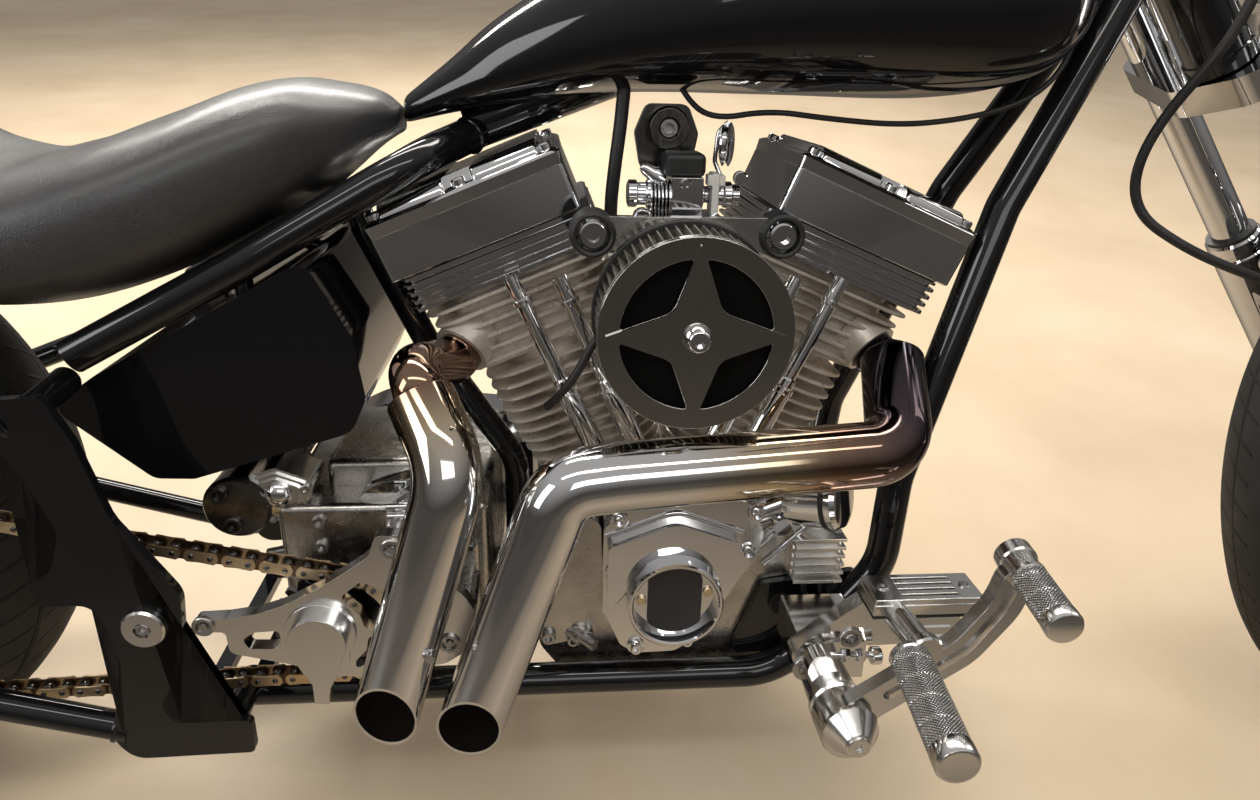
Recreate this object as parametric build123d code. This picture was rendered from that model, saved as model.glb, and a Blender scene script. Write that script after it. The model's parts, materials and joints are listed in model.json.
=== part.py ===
"""Chopper motorcycle: hardtail frame, 45 degree V-twin, chain drive, long fork.

Everything is drawn upright in the bike frame, in millimetres: x forward from the
rear axle, y to the rider's left, z up from the ground.  At the end each body is
moved to where it stands when parked: leaning on the side stand with the
steering on its left stop, origin at the bottom centre of the bounding box.
"""
from build123d import *
import math
import os

os.makedirs("parts", exist_ok=True)

# Stance
LEAN_DEG = 10.0
STEER_REST_DEG = 22.0
STEER_SWEEP_DEG = 44.0
RAKE_DEG = 38.0

# Wheels: outer radius, width, height of the tyre's section; fenders over them
REAR_R, REAR_W, REAR_SECTION = 325.0, 240.0, 95.0
FRONT_R, FRONT_W, FRONT_SECTION = 330.0, 130.0, 80.0
REAR_RIM, FRONT_RIM = REAR_R - REAR_SECTION, FRONT_R - FRONT_SECTION
FENDER_T = 5.5
REAR_FENDER_GAP, FRONT_FENDER_GAP = 19.5, 13.5
AXLE_R = 12.0
AXLE_BORE_R = 6.0
RUN_FIT = 0.05
REAR_AXLE = (0.0, 0.0, REAR_R)

# Engine
CRANK = (930.0, 0.0, 235.0)
V_HALF_DEG = 22.5
CAM = (928.0, 296.0)

# Chain drive
PITCH = 15.875
CHAIN_Y = -156.0
FRONT_TEETH, REAR_TEETH = 21, 51
REAR_CLEAR, FRONT_CLEAR = 60.0, 36.0
DRIVE = (620.0, 268.0)

# Frame
NECK_LOW = (1465.0, 0.0, 770.0)
NECK_LEN = 165.0
TUBE_R = 16.0
RAIL_Y = 115.0
RAIL_Z = 165.0
PLATE_Y = 188.0

# Fork
FORK_OFFSET = 65.0
LEG_Y = 115.0
STANCHION_R = 20.5
LOWER_R = 29.0
STEM_R = 15.0

# Exhaust
PIPE_R = 28.575
PIPE_WALL = 2.5
MOUTH_DEEP = 120.0

sin, cos = math.sin, math.cos
RAKE = math.radians(RAKE_DEG)
UP = Vector(-sin(RAKE), 0, cos(RAKE))
FWD = Vector(cos(RAKE), 0, sin(RAKE))
NECK = Vector(*NECK_LOW)
LEG_TOP = NECK + FWD * FORK_OFFSET
FRONT_AXLE = LEG_TOP - UP * ((LEG_TOP.Z - FRONT_R) / UP.Z)

BODIES = {}
SHAPES = {}


def node(name, body, shape):
    """Register one solid under its node name and moving body."""
    if isinstance(shape, (list, tuple)):
        total = shape[0]
        for more in shape[1:]:
            total = total + more
        shape = total
    BODIES[name] = body
    SHAPES[name] = shape
    return shape


def tube(points, r, bend=60.0, wall=0.0):
    """Round tube along a polyline with rounded corners."""
    pts = [Vector(*p) for p in points]
    if len(pts) == 2:
        path = Line(pts[0], pts[1])
    else:
        path = FilletPolyline(*pts, radius=bend)
    ring = Plane(origin=path @ 0, z_dir=path % 0) * Circle(r)
    if wall:
        ring = ring - Plane(origin=path @ 0, z_dir=path % 0) * Circle(r - wall)
    return sweep(ring, path=path)


def rod(a, b, r, r2=None):
    """Straight round bar between two points; r2 makes it a cone."""
    a, b = Vector(*a), Vector(*b)
    base = Plane(origin=a, z_dir=(b - a).normalized())
    if r2 is None:
        return extrude(base * Circle(r), amount=(b - a).length)
    tip = Plane(origin=b, z_dir=(b - a).normalized())
    return loft([base * Circle(r), tip * Circle(r2)])


def side(y):
    """Drawing plane seen from the right: u = x, v = z, extrudes toward -y."""
    return Plane(origin=(0, y, 0), x_dir=(1, 0, 0), z_dir=(0, -1, 0))


def plate(points, y_from, y_to, r=0.0):
    """Flat plate of the given (x, z) outline between two y values."""
    top = max(y_from, y_to)
    face = make_face(Polyline(*points, close=True))
    if r:
        face = fillet(face.vertices(), r)
    return extrude(side(top) * face, amount=abs(y_from - y_to))


def disc(x, z, r, y_from, y_to):
    top = max(y_from, y_to)
    return extrude(side(top) * Pos(x, z) * Circle(r), amount=abs(y_from - y_to))


def spin(profile, centre, arc=360.0, start=0.0):
    """Revolve a (y, r) outline about the wheel axis through a centre."""
    face = Plane.YZ * make_face(Polyline(*profile, close=True))
    body = revolve(face, axis=Axis.Y, revolution_arc=arc)
    return Pos(*centre) * Rot(0, start, 0) * body


def sector(centre, r0, r1, a0, a1, y0, y1):
    """Plate shaped as part of a ring, angles in degrees from forward to up."""
    steps = 6
    angles = [math.radians(a0 + (a1 - a0) * i / steps) for i in range(steps + 1)]
    pts = [(centre[0] + r1 * cos(a), centre[2] + r1 * sin(a)) for a in angles]
    pts += [(centre[0] + r0 * cos(a), centre[2] + r0 * sin(a)) for a in reversed(angles)]
    return plate(pts, y0, y1)


def box(x0, x1, y0, y1, z0, z1, r=0.0):
    b = Pos((x0 + x1) / 2, (y0 + y1) / 2, (z0 + z1) / 2) * Box(x1 - x0, y1 - y0, z1 - z0)
    if r:
        b = fillet(b.edges(), r)
    return b


def along(s, f=0.0, y=0.0):
    """Point at s up the steering axis from the neck's foot, f ahead of it."""
    p = NECK + UP * s + FWD * f
    return (p.X, y, p.Z)


def steer_plane(s):
    """Plane square to the steering axis: u = forward, v = left."""
    return Plane(origin=along(s), x_dir=FWD, z_dir=UP)


# Wheels

def tyre_profile(r, w, rim, crown):
    """Outline of half facets: few flats stand for the rounded crown."""
    half = w / 2
    pts = []
    for k in (-0.92, -0.66, -0.28, 0.28, 0.66, 0.92):
        y = half * k
        pts.append((y, r - crown + math.sqrt(crown ** 2 - y ** 2)))
    side_r = (pts[0][1] + rim) / 2
    return ([(-half * 0.84, rim), (-half, side_r)] + pts
            + [(half, side_r), (half * 0.84, rim)])


REAR_PROFILE = tyre_profile(REAR_R, REAR_W, REAR_RIM, 140.0)
FRONT_PROFILE = tyre_profile(FRONT_R, FRONT_W, FRONT_RIM, 68.0)


def rim(centre, r, half, spoke_half, hub_half, count, hub_r):
    """Billet wheel: barrel, hub and tapered spokes, bored for its axle."""
    barrel = spin([(-half, r - 16), (-half, r - 0.4), (half, r - 0.4), (half, r - 16),
                   (half * 0.55, r - 30), (-half * 0.55, r - 30)], centre)
    barrel = barrel - spin([(-half - 1, 0), (-half - 1, r - 24), (-half * 0.5, r - 40),
                            (half * 0.5, r - 40), (half + 1, r - 24), (half + 1, 0)], centre)
    cx, cy, cz = centre
    hub = disc(cx, cz, hub_r, cy + hub_half, cy - hub_half)
    body = barrel + hub
    for i in range(count):
        a = 2 * math.pi * i / count + math.pi / 2
        u, v = (cos(a), sin(a)), (-sin(a), cos(a))
        pts = []
        for d, wd in ((hub_r * 0.6, 26), (r * 0.55, 15), (r - 24, 30),
                      (r - 24, -30), (r * 0.55, -15), (hub_r * 0.6, -26)):
            pts.append((cx + u[0] * d + v[0] * wd, cz + u[1] * d + v[1] * wd))
        body = body + plate(pts, cy + spoke_half, cy - spoke_half)
    return body - disc(cx, cz, AXLE_R + RUN_FIT, cy + hub_half + 1, cy - hub_half - 1)


def rotor(centre, y, r):
    """Brake disc with five arms to the hub."""
    cx, _, cz = centre
    ring = disc(cx, cz, r, y + 2.5, y - 2.5) - disc(cx, cz, r - 34, y + 3, y - 3)
    body = ring + disc(cx, cz, 48, y + 2.5, y - 2.5)
    for i in range(5):
        a = 2 * math.pi * i / 5
        u, v = (cos(a), sin(a)), (-sin(a), cos(a))
        pts = [(cx + u[0] * d + v[0] * wd, cz + u[1] * d + v[1] * wd)
               for d, wd in ((40, 11), (r - 28, 8), (r - 28, -8), (40, -11))]
        body = body + plate(pts, y + 2.5, y - 2.5)
    return body


fa = (FRONT_AXLE.X, 0.0, FRONT_AXLE.Z)
node("rear_tyre", "rear_wheel", spin(REAR_PROFILE, REAR_AXLE))
node("front_tyre", "front_wheel", spin(FRONT_PROFILE, fa))

rear_rim = rim(REAR_AXLE, REAR_RIM, REAR_W * 0.42, 24, 74, 5, 46)
rear_rim = rear_rim + disc(0, REAR_R, 58, -73, -150)
rear_rim = rear_rim + disc(0, REAR_R, 50, 73, 137)
rear_rim = rear_rim - disc(0, REAR_R, AXLE_R + RUN_FIT, 140, -160)
node("rear_rim", "rear_wheel", rear_rim)
node("front_rim", "front_wheel",
     rim(fa, FRONT_RIM, FRONT_W * 0.42, 17, 60, 5, 36)
     + (disc(fa[0], fa[2], 40, -58, -67) - disc(fa[0], fa[2], AXLE_R + RUN_FIT, -50, -70)))
node("rear_brake_disc", "rear_wheel",
     rotor(REAR_AXLE, 139, 146) - disc(0, REAR_R, AXLE_R + RUN_FIT, 150, 130))
node("front_brake_disc", "front_wheel",
     rotor(fa, -69, 146) - disc(fa[0], fa[2], AXLE_R + RUN_FIT, -60, -80))


# Chain drive

def pitch_r(teeth):
    return PITCH / (2 * sin(math.pi / teeth))


def sprocket(x, z, teeth, y, t, bore, windows):
    """Toothed disc: root and tip vertices per tooth."""
    r = pitch_r(teeth)
    pts = []
    for i in range(teeth):
        for k, rr in ((-0.32, r - 4.2), (-0.12, r + 4.4), (0.12, r + 4.4), (0.32, r - 4.2)):
            a = 2 * math.pi * (i + k) / teeth
            pts.append((x + rr * cos(a), z + rr * sin(a)))
    body = plate(pts, y + t / 2, y - t / 2)
    for i in range(windows):
        a = 2 * math.pi * (i + 0.5) / windows
        body = body - disc(x + 90 * cos(a), z + 90 * sin(a), 21, y + t, y - t)
    if bore:
        body = body - disc(x, z, bore, y + t, y - t)
    return body


node("rear_sprocket", "rear_wheel",
     sprocket(0, REAR_R, REAR_TEETH, CHAIN_Y, 5.0, AXLE_R + RUN_FIT, 6))
node("front_sprocket", "frame",
     sprocket(DRIVE[0], DRIVE[1], FRONT_TEETH, CHAIN_Y, 11.4, 0, 0)
     + disc(DRIVE[0], DRIVE[1], 18, CHAIN_Y - 12, CHAIN_Y + 23))


def chain_loop():
    """Pin centres of the chain loop, one per link, and the two free spans."""
    r1, r2 = pitch_r(REAR_TEETH), pitch_r(FRONT_TEETH)
    ax, az = REAR_AXLE[0], REAR_AXLE[2]
    bx, bz = DRIVE
    dist = math.hypot(bx - ax, bz - az)
    base = math.atan2(bz - az, bx - ax)
    tilt = math.acos((r1 - r2) / dist)
    run = math.sqrt(dist ** 2 - (r1 - r2) ** 2)
    wrap1 = r1 * (2 * math.pi - 2 * tilt)
    wrap2 = r2 * 2 * tilt
    links = int(round((2 * run + wrap1 + wrap2) / PITCH / 2)) * 2
    step = (2 * run + wrap1 + wrap2) / links
    top_a, low_a = base + tilt, base - tilt
    pins, free = [], []
    for i in range(links):
        s = i * step
        if s < run:
            k = s / run
            p0 = (ax + r1 * cos(top_a), az + r1 * sin(top_a))
            p1 = (bx + r2 * cos(top_a), bz + r2 * sin(top_a))
            pins.append((p0[0] + (p1[0] - p0[0]) * k, p0[1] + (p1[1] - p0[1]) * k))
            free.append(REAR_CLEAR < s < run - FRONT_CLEAR)
        elif s < run + wrap2:
            a = top_a - (s - run) / r2
            pins.append((bx + r2 * cos(a), bz + r2 * sin(a)))
            free.append(False)
        elif s < 2 * run + wrap2:
            k = (s - run - wrap2) / run
            p0 = (bx + r2 * cos(low_a), bz + r2 * sin(low_a))
            p1 = (ax + r1 * cos(low_a), az + r1 * sin(low_a))
            pins.append((p0[0] + (p1[0] - p0[0]) * k, p0[1] + (p1[1] - p0[1]) * k))
            free.append(FRONT_CLEAR < s - run - wrap2 < run - REAR_CLEAR)
        else:
            a = low_a - (s - 2 * run - wrap2) / r1
            pins.append((ax + r1 * cos(a), az + r1 * sin(a)))
            free.append(False)
    return pins, free


def ribbon(pins, y0, y1, wide, narrow):
    """Closed band of side plates; narrow < wide cuts a waist in each link."""
    n = len(pins)
    outer, inner = [], []
    for i in range(n):
        p, q, m = pins[i], pins[(i + 1) % n], pins[i - 1]
        tx, tz = q[0] - m[0], q[1] - m[1]
        d = math.hypot(tx, tz)
        nx, nz = -tz / d, tx / d
        outer.append((p[0] + nx * wide, p[1] + nz * wide))
        inner.append((p[0] - nx * wide, p[1] - nz * wide))
        if narrow < wide:
            cx, cz = (p[0] + q[0]) / 2, (p[1] + q[1]) / 2
            ex, ez = q[0] - p[0], q[1] - p[1]
            e = math.hypot(ex, ez)
            outer.append((cx - ez / e * narrow, cz + ex / e * narrow))
            inner.append((cx + ez / e * narrow, cz - ex / e * narrow))
    return plate(outer, y0, y1) - plate(inner, y0 + 1, y1 - 1)


PINS, FREE = chain_loop()
near = ribbon(PINS, CHAIN_Y - 6, CHAIN_Y - 9, 6.6, 4.6)
far = ribbon(PINS, CHAIN_Y + 9, CHAIN_Y + 6, 6.0, 6.0)
rollers = []
for (px, pz), clear in zip(PINS, FREE):
    if clear:
        hexagon = [(px + 4 * cos(a * math.pi / 3), pz + 4 * sin(a * math.pi / 3)) for a in range(6)]
        rollers.append(plate(hexagon, CHAIN_Y + 6, CHAIN_Y - 6))
node("drive_chain", "frame", near.fuse(far, *rollers))

# Frame tubes

NECK_TOP = along(NECK_LEN)
BACKBONE = [along(112), (1010, 0, 800), (742, 0, 698)]
neck = rod(along(0), NECK_TOP, 30) + tube(BACKBONE, 22, 300)
node("backbone", "frame", neck - rod(along(-5), along(NECK_LEN + 5), STEM_R + RUN_FIT))

for hand, s in (("right", -1), ("left", 1)):
    y = s * RAIL_Y
    node("cradle_" + hand, "frame",
         tube([(1352, s * 24, 862), (1236, s * 62, 640), (1152, s * 108, 385), (1146, y, 290),
               (1050, y, RAIL_Z), (470, y, RAIL_Z)], TUBE_R, 75))
    node("seat_rail_" + hand, "frame",
         tube([(750, s * 12, 694), (692, s * 80, 668), (560, s * 112, 592), (425, s * 134, 520)],
              TUBE_R - 1, 90))
    node("seat_stay_" + hand, "frame",
         tube([(400, s * 186, 486), (38, s * 186, REAR_R + 19)], TUBE_R - 3)
         + plate([(-34, REAR_R - 25), (34, REAR_R - 29), (60, REAR_R + 9), (40, REAR_R + 27),
                  (-34, REAR_R + 27)], s * 178, s * 190, 8)
         - disc(0, REAR_R, AXLE_R + 0.05, 200, -200))
    node("chain_stay_" + hand, "frame",
         tube([(436, s * 186, 184), (20, s * 186, REAR_R - 17)], TUBE_R - 3))
    outline = [(383, 505), (430, 508), (446, 470), (462, 402), (505, 330), (498, 262), (470, 214),
               (480, 196), (545, 196), (545, 160), (440, 158), (424, 180), (446, 262), (436, 322),
               (392, 322), (386, 342), (408, 356), (420, 392), (404, 440), (388, 470)]
    node("side_plate_" + hand, "frame", [
        plate(outline, s * PLATE_Y, s * (PLATE_Y + 9), 0),
        disc(472, 300, 18, s * (PLATE_Y + 16), s * (PLATE_Y + 8)),
        rod((520, s * 110, 178), (520, s * (PLATE_Y + 2), 178), 12),
        rod((418, s * 136, 500), (418, s * (PLATE_Y + 2), 496), 12),
    ])

POST = [(630, 0, 642), (640, 0, 606), (692, 0, 492), (779, 0, 360), (779, 0, RAIL_Z)]
node("seat_post", "frame", [
    tube(POST, 13, 60),
    rod((779, -RAIL_Y, RAIL_Z), (779, RAIL_Y, RAIL_Z), 12),
    rod((626, -96, 631), (631, 0, 634), 11),
    rod((626, 96, 631), (631, 0, 634), 11),
])
node("rear_axle", "frame",
     disc(0, REAR_R, AXLE_R, 199, -199) + disc(0, REAR_R, 19, 199, 190.5)
     + disc(0, REAR_R, 19, -190.5, -199) - disc(0, REAR_R, AXLE_BORE_R, 205, -205))

# Engine

cx, _, cz = CRANK
case_outline = [(cx - 128, 190), (cx - 100, 150), (cx - 30, 126), (cx + 60, 128), (cx + 118, 168),
                (cx + 140, 240), (cx + 128, 310), (cx + 92, 368), (cx + 30, 390), (cx - 30, 390),
                (cx - 92, 368), (cx - 130, 310)]
cam_outline = [(864, 311), (867, 360), (900, 374), (984, 378), (1015, 334), (1004, 273), (1000, 239),
               (961, 214), (911, 208), (870, 226)]
CASE_Y, CHEST_Y, COVER_Y = 92.0, 128.0, 146.0
DECK = 146.0


def on_cylinder(sign):
    """Cylinder's own frame: x outward from the V, z up the bore."""
    if sign > 0:
        return Pos(*CRANK) * Rot(0, V_HALF_DEG, 0)
    return Pos(*CRANK) * Rot(0, -V_HALF_DEG, 0) * Rot(0, 0, 180)


def cyl_point(sign, s, y, h):
    """Bike-frame point at s outward, h up a cylinder's bore."""
    a = math.radians(V_HALF_DEG)
    return (CRANK[0] + sign * (h * sin(a) + s * cos(a)), y, CRANK[2] + h * cos(a) - s * sin(a))


def slab(x0, x1, y_half, z0, z1, r, y_shift=0.0):
    face = RectangleRounded(x1 - x0, y_half * 2, r)
    return Pos((x0 + x1) / 2, y_shift, z0) * extrude(face, amount=z1 - z0)


case = plate(case_outline, CASE_Y, -CASE_Y, 18) + plate(cam_outline, -CASE_Y + 2, -CHEST_Y, 12)
for sign in (1, -1):
    case = case - on_cylinder(sign) * slab(-120, 120, 130, DECK, DECK + 130, 4)
node("crankcase", "frame", case)
node("cam_cover", "frame", [
    plate(cam_outline, -CHEST_Y - 0.2, -COVER_Y, 12),
    disc(CAM[0], CAM[1], 62, -COVER_Y + 1, -COVER_Y - 8),
    disc(CAM[0], CAM[1], 44, -COVER_Y - 7, -168) - disc(CAM[0], CAM[1], 36, -164, -169),
])

FINS = 11
HEAD_FINS = 6
BARREL_DEEP, HEAD_DEEP, BASE_DEEP, CAP_DEEP = 150.0, 76.0, 33.0, 48.0
HEAD_H = DECK + BARREL_DEEP
BASE_H = HEAD_H + HEAD_DEEP
BOX_H = BASE_H + BASE_DEEP
CAP_H = BOX_H + CAP_DEEP
FIN_STEP = BARREL_DEEP / 12.1
HEAD_STEP = HEAD_DEEP / 6.13
PORT_R = 27.0
PORTS = {}
for name, sign in (("front", 1), ("rear", -1)):
    body = Pos(0, 0, DECK + 0.3) * Cylinder(58, HEAD_H - DECK + 1,
                                            align=(Align.CENTER, Align.CENTER, Align.MIN))
    for i in range(FINS):
        z = DECK + 12 + i * FIN_STEP
        grow = min(1.0, 0.88 + 0.02 * i)
        inner = min(74 * grow, z * math.tan(math.radians(V_HALF_DEG)) - 2.5)
        body = body + slab(-inner, 74 * grow, 72 * grow, z, z + 3.6, 38)
    node(name + "_cylinder", "frame", on_cylinder(sign) * body)
    head = slab(-64, 76, 62, HEAD_H, BASE_H - 0.3, 20)
    for i in range(HEAD_FINS):
        z = HEAD_H + 4 + i * HEAD_STEP
        grow = 0.86 + 0.028 * i
        head = head + slab(-80 * grow, 96 * grow, 80 * grow, z, z + 3.8, 24)
    port = Vector(*cyl_point(sign, 62, -46, HEAD_H + 34))
    tip = Vector(*cyl_point(sign, 80, -64, HEAD_H + 26))
    PORTS[name] = (tip, (tip - port).normalized())
    head = on_cylinder(sign) * head + rod(tuple(port), tuple(tip), PORT_R)
    node(name + "_head", "frame", head)
    base = slab(-84, 100, 84, BASE_H, BOX_H, 8)
    for i in range(4):
        z = BASE_H + 3 + i * BASE_DEEP / 4.6
        base = base - (slab(-90, 106, 90, z, z + 3.4, 8) - slab(-80, 96, 80, z - 1, z + 5, 8))
    top = slab(-75, 107, 87, BOX_H + 0.4, CAP_H, 6)
    cap = Pos(16, 0, CAP_H) * Box(184, 176, 7, align=(Align.CENTER, Align.CENTER, Align.MIN))
    crown = loft([Pos(16, 0, CAP_H + 7) * Rectangle(180, 172),
                  Pos(16, 0, CAP_H + 18) * Rectangle(148, 128)])
    neck_in = slab(-70, 96, 80, BOX_H - 1, BOX_H + 1, 4)
    node(name + "_rocker_box", "frame", on_cylinder(sign) * (base + neck_in + top + cap + crown))

tubes = []
FEET_Z = 171.0
for sx in (-1, 1):
    for out, below, foot_x in ((5.6, -3.8, 64.5), (-33.2, 12.3, 26)):
        a = (cx + sx * foot_x, -112, cz + FEET_Z)
        b = cyl_point(sx, out, -96, BASE_H - below)
        m = tuple(p + (q - p) * 0.42 for p, q in zip(a, b))
        tubes.append(rod(a, m, 10.5))
        tubes.append(rod(m, b, 7.5))
lifters = plate([(cx - 86, cz + 134), (cx + 86, cz + 134), (cx + 78, cz + FEET_Z + 1),
                 (cx - 78, cz + FEET_Z + 1)], -99, -CHEST_Y + 1, 4)
node("pushrod_tubes", "frame", [lifters] + tubes)

# Intake

AC = (928.0, 561.0)
node("air_cleaner", "frame", [
    disc(AC[0], AC[1], 74, -148, -206),
    disc(AC[0], AC[1], 82, -140, -149),
    plate([(AC[0] - 84, AC[1] + 50), (AC[0] + 84, AC[1] + 50), (AC[0] + 78, AC[1] + 78),
           (AC[0] - 78, AC[1] + 78)], -138, -148, 8),
    disc(AC[0] - 77, AC[1] + 66, 15, -130, -158),
    disc(AC[0] + 77, AC[1] + 66, 15, -130, -158),
])
COVER_R, STAR_R, WINDOW_R, WINDOW_EDGE = 77.0, 72.5, 60.0, 1.5


def star(r):
    """Four straight-sided points with rounded valleys between them."""
    v = 0.264 * r
    face = make_face(Polyline((r, 0), (v, v), (0, r), (-v, v), (-r, 0), (-v, -v), (0, -r), (v, -v),
                              close=True))
    valleys = [corner for corner in face.vertices() if Vector(corner).length < r / 2]
    return fillet(valleys, 15)


window = Circle(WINDOW_R) - star(STAR_R + WINDOW_EDGE)
window = fillet([corner for corner in window.vertices() if Vector(corner).length > WINDOW_R - 1], 5)
on_cover = side(-206.5) * Pos(AC[0], AC[1])
cover = disc(AC[0], AC[1], COVER_R, -206.5, -214)
cover = cover - extrude(on_cover * window, amount=12)
cover = cover + extrude(side(-213) * Pos(AC[0], AC[1]) * star(STAR_R), amount=3)
node("air_cleaner_cover", "frame", cover + rod((AC[0], -215, AC[1]), (AC[0], -232, AC[1]), 11.5, 8))
node("carburettor", "frame", [
    rod((926, -20, 588), (926, -137.5, 588), 26),
    box(890, 962, -128, -62, 560, 672, 8),
    rod((900, -95, 640), (900, -95, 686), 17),
    box(898, 952, -122, -84, 670, 690, 4),
    rod((cx - 60, -20, 575), (cx + 60, -20, 575), 22),
])

# Exhaust

HEADER_R = 22.0


def exhaust(name, port, header, bend, pipe, pipe_bend):
    """Header from the port, slipped into the wider drag pipe; the end is open."""
    tip, d = PORTS[port]
    start = tip + d * 0.3
    first = tube([tuple(start), tuple(start + d * 14)] + header, HEADER_R, bend)
    second = tube(pipe, PIPE_R, pipe_bend)
    end, before = Vector(*pipe[-1]), Vector(*pipe[-2])
    back = (before - end).normalized()
    mouth = rod(tuple(end - back), tuple(end + back * MOUTH_DEEP), PIPE_R - PIPE_WALL)
    node(name, "frame", first + second - mouth)


FRONT_PIPE = [(1131, -108, 505), (1115, -190, 450), (870, -216, 443), (824, -220, 439),
              (742, -236, 210)]
REAR_PIPE = [(710, -172, 495), (738, -212, 448), (671, -231, 222)]
exhaust("front_exhaust", "front", [(1135, -106, 502)], 18, FRONT_PIPE, 40)
exhaust("rear_exhaust", "rear", [(700, -140, 510), (713, -178, 489)], 24, REAR_PIPE, 60)

# Left side: primary drive, right side: gearbox, sprocket cover

primary = [(cx + 108, 235), (cx + 86, 186), (cx + 24, 166), (620, 172), (545, 198), (520, 262),
           (550, 340), (620, 374), (cx + 20, 344), (cx + 90, 300)]
chest = [(cx + 92, 240), (cx + 76, 204), (640, 196), (576, 220), (560, 262),
         (576, 320), (640, 350), (cx + 20, 324), (cx + 72, 290)]
node("primary_cover", "frame", [
    plate(chest, CASE_Y + 0.5, 136, 20),
    plate(primary, 134, 190, 24),
    disc(cx, 240, 62, 189, 199),
    disc(612, 268, 76, 189, 199),
])
node("gearbox", "frame", [
    box(562, 756, -112, CASE_Y + 0.2, 200, 366, 14),
    box(662, 744, -134, -108, 318, 396, 10),
    box(600, 716, -70, 80, 360, 392, 8),
    disc(DRIVE[0], DRIVE[1], 30, -110, -134),
])
node("starter", "frame", [
    rod((528, 84, 366), (528, -112, 366), 30),
    plate([(545, 372), (580, 368), (628, 372), (640, 388), (616, 400), (566, 398)], 40, -118, 5),
])
cover_outline = [(512, 284), (520, 306), (566, 330), (610, 336), (668, 376), (686, 360), (658, 318),
                 (700, 318), (742, 330), (745, 270), (700, 262), (650, 226), (622, 206), (600, 222),
                 (586, 258), (540, 268)]
node("sprocket_cover", "frame", [
    plate(cover_outline, -176, -190, 6),
    disc(DRIVE[0], 279, 30, -184, -200),
    rod((676, -112.3, 350), (676, -180, 350), 10),
    rod((738, -112.3, 290), (738, -180, 290), 10),
])

# Oil tank box beside the seat post, filter and regulator in front

oil_outline = [(392, 470), (466, 402), (500, 401), (640, 444), (655, 476), (648, 532),
               (614, 598), (560, 568), (432, 498)]
node("oil_tank", "frame", [plate(oil_outline, 118, -122, 12)]
     + [rod((560, s * 104, 552), (560, s * 110, 588), 8) for s in (-1, 1)])
node("oil_filter", "frame", rod((1052, -98, 362), (1096, -132, 374), 30)
     + rod((1000, -110, 340), (1056, -101, 363), 16))
node("regulator", "frame",
     [box(1054, 1104, -113, -CASE_Y - 0.3, 278, 328)]
     + [box(1054, 1104, -127, -112, 278 + i * 9.3, 281.5 + i * 9.3) for i in range(6)])
mount = [(1030, 262), (1128, 276), (1136, 250), (1076, 178), (1000, 178)]
node("engine_mount", "frame", [plate(mount, -CASE_Y - 9, -CASE_Y - 1, 6),
                               plate(mount, CASE_Y + 1, CASE_Y + 9, 6),
                               rod((1086, -CASE_Y - 6, 200), (1086, CASE_Y + 6, 200), 10)])

# Tank, seat, fenders

tank_stations = [
    # x, z low, z high, half width, corner radius
    (690, 702, 724, 26, 10),
    (770, 718, 790, 62, 30),
    (880, 731, 852, 100, 52),
    (1020, 732, 905, 126, 70),
    (1150, 732, 922, 132, 78),
    (1240, 748, 900, 112, 66),
    (1296, 792, 862, 60, 30),
]


def stations(rows):
    faces = []
    for x, z0, z1, hw, r in rows:
        flat = Plane(origin=(x, 0, (z0 + z1) / 2), x_dir=(0, 1, 0), z_dir=(1, 0, 0))
        faces.append(flat * RectangleRounded(2 * hw, z1 - z0, min(r, hw - 1, (z1 - z0) / 2 - 1)))
    return loft(faces)


TUNNEL_GAP = 0.3
over = 22 + TUNNEL_GAP
tunnel = plate([(660, 600), (660, 700 + over), (742, 700 + over), (1010, 802 + over),
                (1420, 905 + over), (1420, 600)], over, -over)
node("fuel_tank", "frame", stations(tank_stations) - tunnel)
node("filler_cap", "frame", rod((1080, -52, 900), (1074, -60, 934), 31))

fender_top = 2 * REAR_R
seat_stations = [
    (678, 690, 718, 30, 12),
    (640, 672, 732, 78, 24),
    (590, 624, 735, 118, 34),
    (520, 586, 714, 146, 36),
    (440, 557, 684, 164, 36),
    (370, 552, 668, 168, 36),
    (300, fender_top - 90, fender_top + 26, 160, 36),
    (235, fender_top - 46, fender_top + 56, 146, 34),
    (178, fender_top + 4, fender_top + 98, 120, 34),
    (140, fender_top + 50, fender_top + 112, 92, 26),
]
node("seat", "frame", stations(seat_stations))


def fender_profile(r_in, half, skirt):
    """Rounded channel: inner crown radius, outer half width, depth of its sides."""
    r_out, t = r_in + FENDER_T, FENDER_T
    return [(-half, r_in - skirt), (-half, r_in - 6), (-half + 20, r_out), (half - 20, r_out),
            (half, r_in - 6), (half, r_in - skirt), (half - t, r_in - skirt), (half - t, r_in - 9),
            (half - 23, r_in), (-half + 23, r_in), (-half + t, r_in - 9), (-half + t, r_in - skirt)]


def polar(centre, deg, r, y=0.0):
    """Point at an angle from forward to up around a wheel's centre."""
    a = math.radians(deg)
    return (centre[0] + r * cos(a), y, centre[2] + r * sin(a))


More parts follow.
